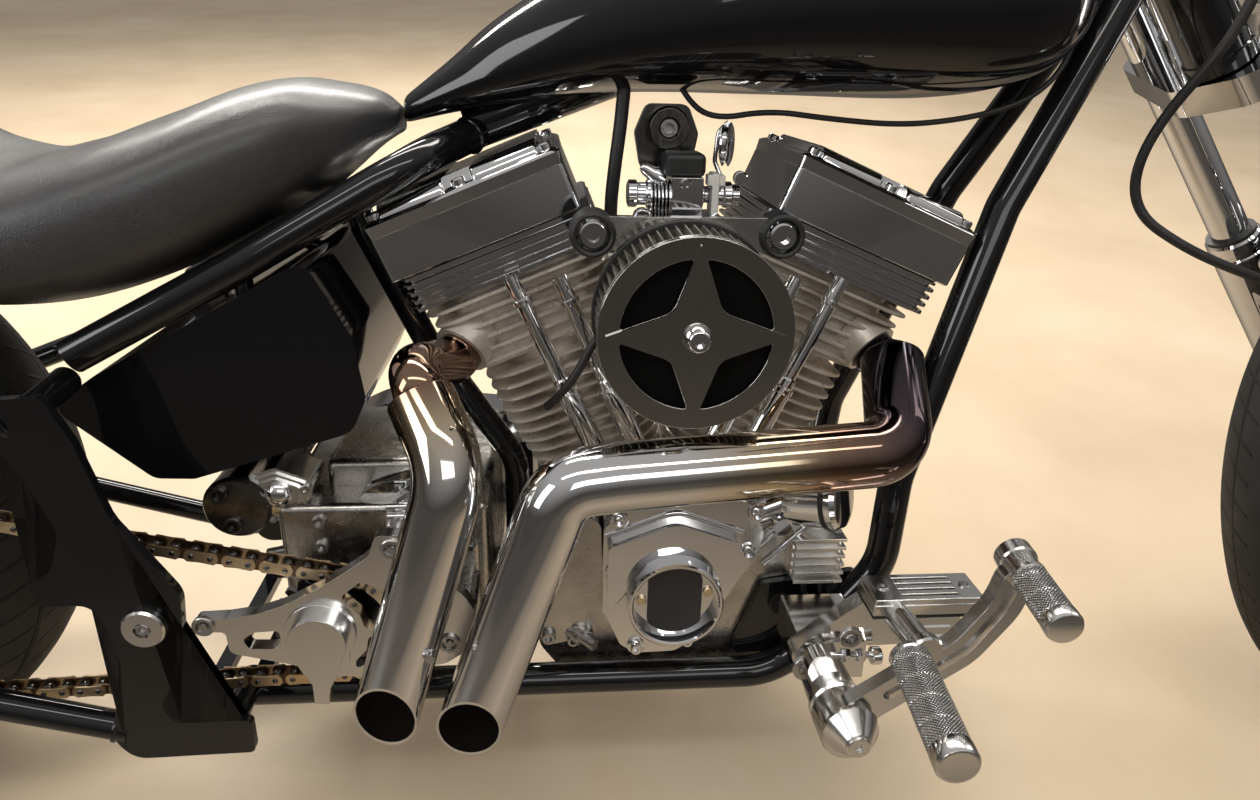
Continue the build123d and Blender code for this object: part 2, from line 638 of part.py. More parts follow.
REAR_CROWN = REAR_R + REAR_FENDER_GAP
FRONT_CROWN = FRONT_R + FRONT_FENDER_GAP
rear_fender = spin(fender_profile(REAR_CROWN, 132, 44), REAR_AXLE, 128, -62)
struts = [tube([polar(REAR_AXLE, 28, 57, s * 178), (22, s * 178, REAR_R + 175),
                polar(REAR_AXLE, 100, REAR_CROWN - 28, s * 129.5)], 7, 30) for s in (-1, 1)]
node("rear_fender", "frame", [rear_fender] + struts)
front_fender = spin(fender_profile(FRONT_CROWN, 80, 52), fa, 168, -130)
stay_r = FRONT_CROWN - 30
stay_deg = math.degrees(math.atan2(UP.Z, UP.X))
stay = Vector(*polar(fa, stay_deg, stay_r))
node("front_fender", "fork", [front_fender]
     + [rod((stay.X, s * 77, stay.Z), (stay.X, s * LEG_Y, stay.Z), 10) for s in (-1, 1)])

LAMP_DEG = 142.0
lamp_root, lamp_face = (polar(REAR_AXLE, LAMP_DEG, REAR_CROWN + d) for d in (6, 48))
node("tail_lamp", "frame", rod(lamp_root, lamp_face, 32))
plate_x, plate_z = -REAR_CROWN - 28, REAR_R + 189
node("plate_holder", "frame", box(plate_x, plate_x + 6, -92, 92, plate_z - 114, plate_z + 6, 0)
     + plate([(plate_x + 1, plate_z), (plate_x + 82, plate_z + 31), (plate_x + 78, plate_z),
              (plate_x + 1, plate_z - 14)], 22, -22))

# Fork

tree_outline = [(-34, -34), (-34, 34), (FORK_OFFSET - 12, LEG_Y + 30), (FORK_OFFSET + 30, LEG_Y + 30),
                (FORK_OFFSET + 34, 0), (FORK_OFFSET + 30, -LEG_Y - 30),
                (FORK_OFFSET - 12, -LEG_Y - 30)]


def tree(s, t):
    face = make_face(Polyline(*tree_outline, close=True))
    face = fillet(face.vertices(), 14)
    return extrude(steer_plane(s) * face, amount=t)


node("fork_yokes", "fork", [tree(-31, 30), tree(NECK_LEN + 1, 24),
                            rod(along(-2), along(NECK_LEN + 2), STEM_R)])
for hand, s in (("right", -1), ("left", 1)):
    y = s * LEG_Y
    top = along(NECK_LEN + 34, FORK_OFFSET, y)
    mid = along(-300, FORK_OFFSET, y)
    low = (fa[0] + 14, y, fa[2] - 18)
    start = along(-250, FORK_OFFSET, y)
    leg = rod(top, mid, STANCHION_R) + rod(start, low, LOWER_R)
    leg = leg - disc(fa[0], fa[2], AXLE_R + 0.05, 200, -200)
    node("fork_leg_" + hand, "fork", leg)
node("front_axle", "fork",
     disc(fa[0], fa[2], AXLE_R, 152, -152) + disc(fa[0], fa[2], 18, 152, 144.5)
     + disc(fa[0], fa[2], 18, -144.5, -152) - disc(fa[0], fa[2], AXLE_BORE_R, 160, -160))

bar_c = Vector(*along(NECK_LEN + 110, 8))
bar_pts = [(bar_c.X - 225, 1, 410, 118), (bar_c.X - 24, 1, 306, 152), (bar_c.X + 8, 1, 190, 6),
           (bar_c.X, 1, 90, 0)]
left = [(x, y, bar_c.Z + z) for x, _, y, z in bar_pts]
right = [(x, -y, z) for x, y, z in reversed(left)]
node("handlebar", "fork", [tube(left + right, 12.7, 55)]
     + [rod(along(NECK_LEN + 25.3, 8, s * 48), along(NECK_LEN + 124, 8, s * 48), 17) for s in (-1, 1)])
for hand, s in (("right", -1), ("left", 1)):
    a, b = Vector(left[0][0], s * left[0][1], left[0][2]), Vector(left[1][0], s * left[1][1], left[1][2])
    d = (b - a).normalized()
    a0, b0 = a - d * 4, a + d * 118
    grip = rod(tuple(a0), tuple(b0), 17)
    grip = grip - rod(tuple(a - d * 0.2), tuple(b), 12.9)
    node("grip_" + hand, "fork", grip)
    c0, c1 = a + d * 122, a + d * 158
    lever_a = c1 + Vector(34, 0, -6)
    lever_b = a + Vector(40, s * 10, -10)
    node("lever_" + hand, "fork", [
        rod(tuple(c0), tuple(c1), 21),
        rod(tuple(c0 + d * 18 + Vector(12, 0, 0)), tuple(lever_a), 9),
        rod(tuple(lever_a), tuple(lever_b), 7),
    ])
lamp = Vector(*along(60, 158))
node("headlamp", "fork", [
    rod((lamp.X - 60, 0, lamp.Z), (lamp.X + 10, 0, lamp.Z), 60, 78),
    rod((lamp.X + 10, 0, lamp.Z), (lamp.X + 34, 0, lamp.Z), 78),
    rod((lamp.X - 50, 0, lamp.Z - 20), along(2, 84), 14),
])
node("front_caliper", "fork",
     sector(fa, 92, 176, 146, 186, -104, -52) - disc(fa[0], fa[2], 152, -62, -76)
     + rod((fa[0] - 124, -92, fa[2] + 66), (fa[0] - 78, -LEG_Y, fa[2] + 86), 12))
node("rear_caliper", "frame",
     sector(REAR_AXLE, 92, 176, 96, 140, 172, 121) - disc(0, REAR_R, 152, 146, 132)
     + rod((-40, 168, REAR_R + 120), (20, 183, REAR_R + 14), 11))

# Forward controls


def strip(points, half):
    """Outline of a bar of one width along a line of (x, z) points."""
    left, right = [], []
    for i, p in enumerate(points):
        q, m = points[min(i + 1, len(points) - 1)], points[max(i - 1, 0)]
        d = math.hypot(q[0] - m[0], q[1] - m[1])
        n = (-(q[1] - m[1]) / d * half, (q[0] - m[0]) / d * half)
        left.append((p[0] + n[0], p[1] + n[1]))
        right.append((p[0] - n[0], p[1] - n[1]))
    return left + right[::-1]


ARM = [(1058, 250), (1108, 286), (1150, 316), (1177, 356), (1186, 392)]
ARM_SLOT = [(1090, 275), (1108, 287), (1150, 317), (1174, 356), (1180, 372)]
ARM_Y = 284.0
for hand, s in (("right", -1), ("left", 1)):
    arm = plate(strip(ARM, 14), s * (ARM_Y - 5), s * (ARM_Y + 5), 4)
    arm = arm - plate(strip(ARM_SLOT, 5), s * (ARM_Y - 9), s * (ARM_Y + 9))
    node("forward_control_" + hand, "frame", [
        plate([(1040, 236), (1050, 268), (1094, 288), (1100, 268), (1182, 276), (1186, 334), (1094, 334),
               (1072, 300), (1030, 262)], s * 196, s * 214, 4),
        box(1091, 1188, min(s * 206, s * 240), max(s * 206, s * 240), 316, 334, 3),
        rod((1062, s * 134, 238), (1060, s * 262, 248), 17),
        rod((1060, s * 260, 248), (1060, s * 296, 249), 24),
        rod((1060, s * 295, 249), (1060, s * 318, 250), 21, 9),
        rod((1110, s * 210, 318), (1104, s * 292, 312), 12),
        rod((1104, s * 288, 312), (1096, s * 400, 306), 16),
        rod((1189, s * 262, 392), (1184, s * 354, 384), 13.5),
        box(1044, 1106, min(s * 122, s * 200), max(s * 122, s * 200), 222, 262, 5),
        arm,
    ])

# Side stand on the left: drawn deployed, its foot on the parked ground plane

STAND_PIVOT = Vector(1032, 150, 146)


def support(profile, slope):
    """Furthest reach of a spun profile below its centre for an axis of that slope."""
    flat = math.sqrt(1 - slope ** 2)
    return max(r * flat - y * slope for y, r in profile)


def placed(loc, p):
    return (loc * Pos(*p)).position


def placement(pitch_deg):
    return Rot(-LEAN_DEG, 0, 0) * Rot(0, pitch_deg, 0)


def steer_location(deg):
    """Turn about the steering axis; positive is to the left."""
    a = Axis(NECK_LOW, tuple(UP))
    base = Plane(origin=NECK_LOW, x_dir=FWD, z_dir=UP).location
    return base * Rot(0, 0, deg) * base.inverse()


def wheel_low(loc, centre, profile):
    c = placed(loc, centre)
    w = placed(loc, (centre[0], centre[1] + 1, centre[2])) - c
    return c.Z - support(profile, w.Z)


STEER = steer_location(STEER_REST_DEG)


def mismatch(pitch):
    loc = placement(pitch)
    return wheel_low(loc * STEER, fa, FRONT_PROFILE) - wheel_low(loc, REAR_AXLE, REAR_PROFILE)


p0, p1 = 0.0, 0.5
for _ in range(12):
    m0, m1 = mismatch(p0), mismatch(p1)
    if abs(m1 - m0) < 1e-12:
        break
    p0, p1 = p1, p1 - m1 * (p1 - p0) / (m1 - m0)
PITCH_DEG = p1
turned = placement(PITCH_DEG)
DROP = wheel_low(turned, REAR_AXLE, REAR_PROFILE)
PARK = Pos(0, 0, -DROP) * turned

pivot_w = placed(PARK, tuple(STAND_PIVOT))
foot_w = Vector(pivot_w.X + 92, pivot_w.Y + 158, 7.0)
STAND_FOOT = placed(PARK.inverse(), tuple(foot_w))
d1 = (STAND_FOOT - STAND_PIVOT).normalized()
d2 = Vector(-1, 0.12, -0.06).normalized()
STAND_AXIS = d1.cross(d2).normalized()
STAND_SWEEP_DEG = math.degrees(math.acos(d1.dot(d2)))

pin_a = STAND_PIVOT - STAND_AXIS * 24
pin_b = STAND_PIVOT + STAND_AXIS * 24
eye = (rod(tuple(STAND_PIVOT - STAND_AXIS * 9), tuple(STAND_PIVOT + STAND_AXIS * 9), 17)
       - rod(tuple(pin_a), tuple(pin_b), 8 + RUN_FIT))
shank = rod(tuple(STAND_PIVOT + d1 * 13), tuple(STAND_FOOT), 11, 9)
pad_lo = placed(PARK.inverse(), (foot_w.X, foot_w.Y, 0.0))
pad_hi = placed(PARK.inverse(), (foot_w.X, foot_w.Y, 9.0))
node("side_stand", "side_stand", [eye, shank, rod(tuple(pad_lo), tuple(pad_hi), 30)])
inward = (Vector(STAND_PIVOT.X, RAIL_Y, RAIL_Z) - STAND_PIVOT).normalized()
lugs = rod(tuple(pin_a), tuple(pin_b), 8)
for sgn in (-1, 1):
    c = STAND_PIVOT + STAND_AXIS * (17.5 * sgn)
    a, b = c - STAND_AXIS * 4.5, c + STAND_AXIS * 4.5
    lugs = lugs + rod(tuple(a), tuple(b), 15)
    lugs = lugs + rod(tuple(c), (STAND_PIVOT.X, RAIL_Y + 2, RAIL_Z + 2 + 19 * sgn), 4)
node("stand_bracket", "frame", lugs)

# Cords

HOSE = [(bar_c.X - 92, -338, bar_c.Z + 134), (bar_c.X - 30, -306, bar_c.Z + 76),
        (bar_c.X + 22, -240, bar_c.Z + 6), (bar_c.X + 34, -168, bar_c.Z - 62), along(142, -30, -115),
        along(74, -86, -98), along(24, -150, -26), along(-30, -184, -6), along(-86, -180, -40),
        along(-146, -150, -70), along(-262, -72, -97), along(-420, 30, -97)]
node("brake_hose", "fork", tube(HOSE, 4.5, 36))

# Welds and fits: each first node is cut where the second one passes

TRIMS = [
    ("cradle_right", "backbone"), ("cradle_left", "backbone"),
    ("seat_rail_right", "backbone"), ("seat_rail_left", "backbone"),
    ("seat_post", "seat_rail_right"), ("seat_post", "seat_rail_left"),
    ("seat_post", "cradle_right"), ("seat_post", "cradle_left"),
    ("side_plate_right", "cradle_right"), ("side_plate_left", "cradle_left"),
    ("side_plate_right", "seat_rail_right"), ("side_plate_left", "seat_rail_left"),
    ("seat_stay_right", "side_plate_right"), ("seat_stay_left", "side_plate_left"),
    ("chain_stay_right", "side_plate_right"), ("chain_stay_left", "side_plate_left"),
    ("chain_stay_right", "seat_stay_right"), ("chain_stay_left", "seat_stay_left"),
    ("front_exhaust", "front_head"), ("rear_exhaust", "rear_head"),
    ("engine_mount", "cradle_right"), ("engine_mount", "cradle_left"),
    ("engine_mount", "crankcase"),
    ("pushrod_tubes", "crankcase"), ("oil_filter", "crankcase"),
    ("carburettor", "front_head"), ("carburettor", "rear_head"),
    ("oil_tank", "seat_rail_right"), ("oil_tank", "seat_rail_left"),
    ("seat", "seat_rail_right"), ("seat", "seat_rail_left"),
    ("rear_fender", "seat_stay_right"), ("rear_fender", "seat_stay_left"),
    ("front_fender", "fork_leg_right"), ("front_fender", "fork_leg_left"),
    ("plate_holder", "rear_fender"), ("tail_lamp", "plate_holder"), ("brake_hose", "lever_right"),
    ("brake_hose", "handlebar"),
    ("filler_cap", "fuel_tank"), ("fork_yokes", "fork_leg_right"), ("fork_yokes", "fork_leg_left"),
    ("headlamp", "fork_yokes"), ("front_caliper", "fork_leg_right"),
    ("rear_caliper", "seat_stay_left"), ("rear_caliper", "rear_axle"),
    ("stand_bracket", "cradle_left"), ("starter", "gearbox"), ("sprocket_cover", "gearbox"),
    ("forward_control_right", "cradle_right"), ("forward_control_left", "cradle_left"),
]
for piece, other in TRIMS:
    SHAPES[piece] = SHAPES[piece] - SHAPES[other]

# Parts that leave the workshop as one piece

WHOLES = {
    "frame_upper": ["backbone", "seat_rail_right", "seat_rail_left", "seat_post"],
    "frame_cradle": ["cradle_right", "cradle_left", "engine_mount", "stand_bracket"],
    "rear_frame_right": ["side_plate_right", "seat_stay_right", "chain_stay_right"],
    "rear_frame_left": ["side_plate_left", "seat_stay_left", "chain_stay_left"],
    "front_cylinder": ["front_cylinder", "front_head"],
    "rear_cylinder": ["rear_cylinder", "rear_head"],
    "gearbox": ["gearbox", "starter", "front_sprocket"],
    "tail_lamp": ["tail_lamp", "plate_holder"],
    "handlebar": ["handlebar", "lever_right", "lever_left"],
    "rear_rim": ["rear_rim", "rear_brake_disc"],
    "front_rim": ["front_rim", "front_brake_disc"],
}
for whole, members in WHOLES.items():
    body = BODIES[members[0]]
    shapes = [SHAPES.pop(member) for member in members]
    for member in members:
        del BODIES[member]
    node(whole, body, shapes[0].fuse(*shapes[1:]))

# Placement of every body, then one shift to the bottom centre of the whole

LOCATIONS = {"frame": PARK, "rear_wheel": PARK, "side_stand": PARK,
             "fork": PARK * STEER, "front_wheel": PARK * STEER}
PLACED = {name: LOCATIONS[BODIES[name]] * shape for name, shape in SHAPES.items()}
bounds = Compound(children=[Compound(s.solids()) for s in PLACED.values()]).bounding_box()
SHIFT = Pos(-(bounds.min.X + bounds.max.X) / 2, -(bounds.min.Y + bounds.max.Y) / 2, -bounds.min.Z)
FINAL = {body: SHIFT * loc for body, loc in LOCATIONS.items()}

if __name__ == "__main__":
    for name, shape in PLACED.items():
        solids = (SHIFT * shape).solids()
        if len(solids) != 1:
            print("warning:", name, "has", len(solids), "solids")
        export_step(Compound(solids) if len(solids) > 1 else solids[0], "parts/" + name + ".step")
    print("pitch", round(PITCH_DEG, 4), "drop", round(DROP, 3), "shift", SHIFT.position)
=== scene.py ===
"""Chopper motorcycle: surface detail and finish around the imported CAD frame.

All shapes are drawn upright in the bike frame in millimetres, as in the part's source: x forward from
the rear axle, y to the rider's left, z up.  piece() stands them on the parked, leaning motorcycle.
"""

import bmesh
import bpy
import json
import math
import random
from mathutils import Matrix, Vector


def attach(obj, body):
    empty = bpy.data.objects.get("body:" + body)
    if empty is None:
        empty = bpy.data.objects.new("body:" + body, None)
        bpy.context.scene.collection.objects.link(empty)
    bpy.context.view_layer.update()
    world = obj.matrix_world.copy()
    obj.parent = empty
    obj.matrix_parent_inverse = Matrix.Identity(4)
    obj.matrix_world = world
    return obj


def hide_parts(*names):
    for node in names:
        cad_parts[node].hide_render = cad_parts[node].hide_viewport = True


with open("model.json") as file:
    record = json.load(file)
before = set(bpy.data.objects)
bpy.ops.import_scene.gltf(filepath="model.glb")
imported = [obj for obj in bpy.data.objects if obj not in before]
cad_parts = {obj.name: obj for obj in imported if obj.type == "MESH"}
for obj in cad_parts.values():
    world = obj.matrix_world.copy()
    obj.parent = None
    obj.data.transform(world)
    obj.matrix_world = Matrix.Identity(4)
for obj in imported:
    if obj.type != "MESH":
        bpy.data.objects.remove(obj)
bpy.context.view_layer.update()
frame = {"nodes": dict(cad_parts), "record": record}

# Bike frame to row frame, as the source places its bodies
MM = 0.001
LEAN_DEG, PITCH_DEG, DROP = -10.0, 0.3264, -1.81
SHIFT = (-918.663, -96.852, 0.772)
STEER_DEG, RAKE_DEG = 22.0, 38.0
NECK_LOW = Vector((1465.0, 0.0, 770.0))

RAKE = math.radians(RAKE_DEG)
UP = Vector((-math.sin(RAKE), 0.0, math.cos(RAKE)))
FWD = Vector((math.cos(RAKE), 0.0, math.sin(RAKE)))
PARK = (Matrix.Translation(Vector(SHIFT) - Vector((0, 0, DROP)))
        @ Matrix.Rotation(math.radians(LEAN_DEG), 4, "X")
        @ Matrix.Rotation(math.radians(PITCH_DEG), 4, "Y"))
STEERED = (PARK @ Matrix.Translation(NECK_LOW) @ Matrix.Rotation(math.radians(STEER_DEG), 4, UP)
           @ Matrix.Translation(-NECK_LOW))
TO_METRES = Matrix.Scale(MM, 4)
PLACES = {"frame": PARK, "rear_wheel": PARK, "side_stand": PARK, "fork": STEERED, "front_wheel": STEERED}
REAR_AXLE = Vector((0.0, 0.0, 325.0))
LEG_TOP = NECK_LOW + FWD * 65.0
FRONT_AXLE = LEG_TOP - UP * ((LEG_TOP.z - 330.0) / UP.z)


def to_row(point, body="frame"):
    """Point of the bike frame, in mm, as metres of the row frame."""
    return TO_METRES @ PLACES[body] @ Vector(point)


# Camera, at the photograph's place beside the engine
IMAGE_W, FOCAL_PX = 1260.0, 864.38
EYE = Vector((816.6, -843.9, 753.9))
YAW, TILT, ROLL = math.radians(5.55), math.radians(21.14), math.radians(1.6)
view_dir = Vector((math.sin(YAW) * math.cos(TILT), math.cos(YAW) * math.cos(TILT), -math.sin(TILT)))
flat_right = Vector((math.cos(YAW), -math.sin(YAW), 0.0))
flat_up = flat_right.cross(view_dir)
cam_right = flat_right * math.cos(ROLL) + flat_up * math.sin(ROLL)
cam_up = flat_up * math.cos(ROLL) - flat_right * math.sin(ROLL)
pose = Matrix((
    (cam_right.x, cam_up.x, -view_dir.x, EYE.x),
    (cam_right.y, cam_up.y, -view_dir.y, EYE.y),
    (cam_right.z, cam_up.z, -view_dir.z, EYE.z),
    (0.0, 0.0, 0.0, 1.0)))
place = PARK @ pose
place.translation = place.translation * MM
camera_data = bpy.data.cameras.new("camera")
camera_data.sensor_fit = "HORIZONTAL"
camera_data.angle = 2 * math.atan(IMAGE_W / 2 / FOCAL_PX)
camera_data.clip_start = 0.02
camera = bpy.data.objects.new("camera", camera_data)
bpy.context.scene.collection.objects.link(camera)
camera.matrix_world = place
bpy.context.scene.camera = camera

# Materials


class Shader:
    """Small builder for one node material around a Principled shader."""

    def __init__(self, name, colour, metallic, rough, **inputs):
        self.mat = bpy.data.materials.new(name)
        self.mat.use_nodes = True
        self.tree = self.mat.node_tree
        self.bsdf = self.tree.nodes["Principled BSDF"]
        self.bsdf.inputs["Base Color"].default_value = (*colour, 1.0)
        self.bsdf.inputs["Metallic"].default_value = metallic
        self.bsdf.inputs["Roughness"].default_value = rough
        for key, value in inputs.items():
            self.bsdf.inputs[key.replace("_", " ")].default_value = value
        self.coords = self.tree.nodes.new("ShaderNodeTexCoord").outputs["Object"]
        self.mat.diffuse_color = (*colour, 1.0)

    def node(self, kind, **settings):
        new = self.tree.nodes.new(kind)
        for key, value in settings.items():
            setattr(new, key, value)
        return new

    def link(self, a, b):
        self.tree.links.new(a, b)

    def stretch(self, scale):
        """Coordinates scaled per axis, for brushed or drawn marks."""
        mapping = self.node("ShaderNodeMapping")
        mapping.inputs["Scale"].default_value = scale
        self.link(self.coords, mapping.inputs["Vector"])
        return mapping.outputs["Vector"]

    def noise(self, scale, detail=4.0, rough=0.6, coords=None):
        tex = self.node("ShaderNodeTexNoise")
        tex.inputs["Scale"].default_value = scale
        tex.inputs["Detail"].default_value = detail
        tex.inputs["Roughness"].default_value = rough
        self.link(coords or self.coords, tex.inputs["Vector"])
        return tex.outputs["Fac"]

    def cells(self, scale):
        tex = self.node("ShaderNodeTexVoronoi", feature="DISTANCE_TO_EDGE")
        tex.inputs["Scale"].default_value = scale
        self.link(self.coords, tex.inputs["Vector"])
        return tex.outputs["Distance"]

    def spread(self, value, low, high, to_low, to_high):
        """Map a value's range onto another one."""
        new = self.node("ShaderNodeMapRange")
        for key, number in (("From Min", low), ("From Max", high), ("To Min", to_low), ("To Max", to_high)):
            new.inputs[key].default_value = number
        self.link(value, new.inputs["Value"])
        return new.outputs["Result"]

    def ramp(self, value, stops):
        new = self.node("ShaderNodeValToRGB")
        ramp = new.color_ramp
        while len(ramp.elements) < len(stops):
            ramp.elements.new(0.5)
        for element, (at, colour) in zip(ramp.elements, stops):
            element.position = at
            element.color = (*colour, 1.0)
        self.link(value, new.inputs["Fac"])
        return new.outputs["Color"]

    def rough(self, value, low, high, to_low, to_high):
        self.link(self.spread(value, low, high, to_low, to_high), self.bsdf.inputs["Roughness"])

    def colour(self, value, stops):
        self.link(self.ramp(value, stops), self.bsdf.inputs["Base Color"])

    def bump(self, value, distance, strength=1.0, below=None):
        new = self.node("ShaderNodeBump")
        new.inputs["Strength"].default_value = strength
        new.inputs["Distance"].default_value = distance
        self.link(value, new.inputs["Height"])
        if below is not None:
            self.link(below, new.inputs["Normal"])
        self.link(new.outputs["Normal"], self.bsdf.inputs["Normal"])
        return new.outputs["Normal"]


def gloss_paint(name, colour):
    """Dark paint under a clear coat."""
    m = Shader(name, colour, 0.0, 0.1, Coat_Weight=0.8, Coat_Roughness=0.02, Specular_IOR_Level=0.2)
    m.rough(m.noise(9.0), 0.3, 0.75, 0.06, 0.16)
    m.bump(m.noise(38.0, 2.0), 0.0001, 0.2)
    return m.mat


def plated(name, colour, low, high):
    """Bright plated or polished metal with faint smudges."""
    m = Shader(name, colour, 1.0, low)
    m.rough(m.noise(14.0, 6.0), 0.35, 0.75, low, high)
    m.bump(m.noise(60.0, 3.0), 0.00004, 0.2)
    return m.mat


def cast_metal(name, dark, light, low, high, grain, metallic=1.0):
    """Grainy metal with darker patches."""
    m = Shader(name, light, metallic, high)
    m.colour(m.noise(26.0, 8.0), [(0.3, dark), (0.72, light)])
    m.rough(m.noise(70.0, 4.0), 0.3, 0.7, low, high)
    m.bump(m.noise(grain, 4.0), 0.00035, 0.5)
    return m.mat


def drawn_metal(name, colour, low, high, scale):
    """Metal with fine lines along one axis."""
    m = Shader(name, colour, 1.0, low)
    lines = m.noise(1.0, 5.0, coords=m.stretch(scale))
    m.rough(lines, 0.3, 0.7, low, high)
    m.bump(lines, 0.0001, 0.25)
    return m.mat


def leather(name, colour):
    """Dressed hide with pores and soft folds."""
    m = Shader(name, colour, 0.0, 0.42, Coat_Weight=0.7, Coat_Roughness=0.3, Specular_IOR_Level=0.8)
    m.colour(m.noise(7.0, 6.0), [(0.3, colour), (0.8, tuple(c * 2.2 + 0.004 for c in colour))])
    m.rough(m.noise(16.0, 6.0), 0.3, 0.75, 0.32, 0.52)
    pores = m.bump(m.spread(m.cells(620.0), 0.0, 0.25, 0.0, 1.0), 0.00035, 0.5)
    folds = m.node("ShaderNodeBump")
    folds.inputs["Strength"].default_value = 0.35
    folds.inputs["Distance"].default_value = 0.0012
    m.link(m.noise(34.0, 6.0, 0.55), folds.inputs["Height"])
    m.link(pores, folds.inputs["Normal"])
    m.link(folds.outputs["Normal"], m.bsdf.inputs["Normal"])
    return m.mat


def rubber(name, colour, low, high, dust=0.0, **inputs):
    """Dull moulding; dust is added to the paler patches."""
    m = Shader(name, colour, 0.0, high, **inputs)
    m.colour(m.noise(11.0, 7.0), [(0.35, colour), (0.85, tuple(c + 0.02 + dust for c in colour))])
    m.rough(m.noise(24.0, 4.0), 0.3, 0.7, low, high)
    m.bump(m.noise(420.0, 3.0), 0.00015, 0.4)
    return m.mat


def heat_tinted(name):
    """Chrome pipe: straw, bronze and blue bands by the mesh attribute pipe_heat."""
    m = Shader(name, (0.8, 0.8, 0.82), 1.0, 0.04)
    attribute = m.node("ShaderNodeAttribute", attribute_name="pipe_heat")
    warm = m.noise(22.0, 5.0)
    mixed = m.node("ShaderNodeMath", operation="MULTIPLY_ADD")
    m.link(warm, mixed.inputs[0])
    mixed.inputs[1].default_value = 0.12
    shifted = m.node("ShaderNodeMath", operation="SUBTRACT")
    m.link(attribute.outputs["Fac"], shifted.inputs[0])
    shifted.inputs[1].default_value = 0.06
    m.link(shifted.outputs[0], mixed.inputs[2])
    m.colour(mixed.outputs[0], [(0.0, (0.8, 0.8, 0.82)), (0.3, (0.78, 0.77, 0.76)), (0.48, (0.62, 0.5, 0.34)),
                                (0.62, (0.32, 0.2, 0.14)), (0.78, (0.1, 0.075, 0.085)),
                                (1.0, (0.035, 0.033, 0.04))])
    m.rough(m.noise(18.0, 6.0), 0.35, 0.75, 0.035, 0.11)
    m.bump(m.noise(60.0, 3.0), 0.00004, 0.2)
    return m.mat


def knurled_metal(name):
    """Alloy with crossed helical ridges, from how far round and along each point is."""
    m = Shader(name, (0.74, 0.74, 0.74), 1.0, 0.24)
    around = m.node("ShaderNodeAttribute", attribute_name="knurl_across").outputs["Fac"]
    down = m.node("ShaderNodeAttribute", attribute_name="knurl_down").outputs["Fac"]
    lowest = m.node("ShaderNodeMath", operation="MINIMUM")
    for socket, hand in enumerate(("ADD", "SUBTRACT")):
        phase = m.node("ShaderNodeMath", operation=hand)
        m.link(around, phase.inputs[0])
        m.link(down, phase.inputs[1])
        wave = m.node("ShaderNodeMath", operation="PINGPONG")
        m.link(phase.outputs[0], wave.inputs[0])
        wave.inputs[1].default_value = 0.5
        m.link(wave.outputs[0], lowest.inputs[socket])
    # Painted shade: the valleys between the crossed ridges are coloured near black, the ridge tops pale
    m.colour(lowest.outputs[0], [(0.03, (0.06, 0.055, 0.05)), (0.2, (0.84, 0.84, 0.84))])
    m.bump(m.spread(lowest.outputs[0], 0.0, 0.32, 0.0, 1.0), 0.0007, 0.9)
    return m.mat


def treaded(name, colour, dust):
    """Tyre rubber with a grooved tread; points of the side walls carry a value of 2 across."""
    m = Shader(name, colour, 0.0, 0.6)
    around = m.node("ShaderNodeAttribute", attribute_name="tread_around").outputs["Fac"]
    across = m.node("ShaderNodeAttribute", attribute_name="tread_across").outputs["Fac"]

    def math_of(operation, a, b):
        new = m.node("ShaderNodeMath", operation=operation)
        for socket, value in enumerate((a, b)):
            if isinstance(value, float):
                new.inputs[socket].default_value = value
            else:
                m.link(value, new.inputs[socket])
        return new.outputs[0]

    out = math_of("ABSOLUTE", across, 0.0)
    slant = math_of("PINGPONG", math_of("ADD", around, math_of("MULTIPLY", out, 1.7)), 0.5)
    cross_groove = m.spread(slant, 0.035, 0.075, 1.0, 0.0)
    in_band = math_of("MULTIPLY", m.spread(out, 0.12, 0.16, 0.0, 1.0), m.spread(out, 0.93, 1.02, 1.0, 0.0))
    cross_groove = math_of("MULTIPLY", cross_groove, in_band)
    ring_groove = m.spread(math_of("ABSOLUTE", math_of("SUBTRACT", out, 0.42), 0.0), 0.018, 0.034, 1.0, 0.0)
    depth = math_of("MAXIMUM", cross_groove, ring_groove)
    # The colour falls to near black in the tread grooves, which is painted shade; its paler noise patches are
    # dust
    m.colour(math_of("ADD", math_of("MULTIPLY", m.noise(11.0, 7.0), 0.6), math_of("MULTIPLY", depth, -0.6)),
             [(0.0, (0.004, 0.004, 0.004)), (0.22, colour), (0.6, tuple(c + dust for c in colour))])
    m.rough(m.noise(24.0, 4.0), 0.3, 0.7, 0.5, 0.75)
    grain = m.bump(m.noise(420.0, 3.0), 0.00015, 0.4)
    m.bump(math_of("SUBTRACT", 1.0, depth), 0.005, 1.0, grain)
    return m.mat


# Looks: a material and the record's slot that it stands for
FRAME_BLACK = gloss_paint("frame_paint", (0.007, 0.007, 0.008)), "frame_black"
TANK_BLACK = gloss_paint("tank_paint", (0.005, 0.005, 0.006)), "tank_black"
CHROME = plated("chrome_plate", (0.82, 0.82, 0.83), 0.025, 0.09), "chrome"
ALLOY = plated("polished_alloy", (0.8, 0.79, 0.77), 0.11, 0.26), "polished_aluminium"
FIN_ALLOY = cast_metal("cast_fins", (0.5, 0.44, 0.38), (0.86, 0.8, 0.72), 0.24, 0.42, 300.0,
                       0.45), "raw_aluminium"
CASE_ALLOY = cast_metal("cast_case", (0.42, 0.4, 0.37), (0.68, 0.66, 0.62), 0.18, 0.34,
                        260.0), "raw_aluminium"
DARK_METAL = drawn_metal("dark_polish", (0.16, 0.155, 0.15), 0.14, 0.3, (300.0, 300.0, 8.0)), "dark_metal"
DARK_MIRROR = plated("dark_mirror", (0.5, 0.48, 0.45), 0.05, 0.14), "dark_metal"
STEEL = drawn_metal("bare_steel", (0.5, 0.49, 0.48), 0.2, 0.42, (8.0, 300.0, 300.0)), "steel"
SEAT_LEATHER = leather("seat_hide", (0.01, 0.01, 0.011)), "seat_leather"
TYRE = rubber("tyre_rubber", (0.014, 0.014, 0.014), 0.55, 0.8, 0.012), "tyre_black"
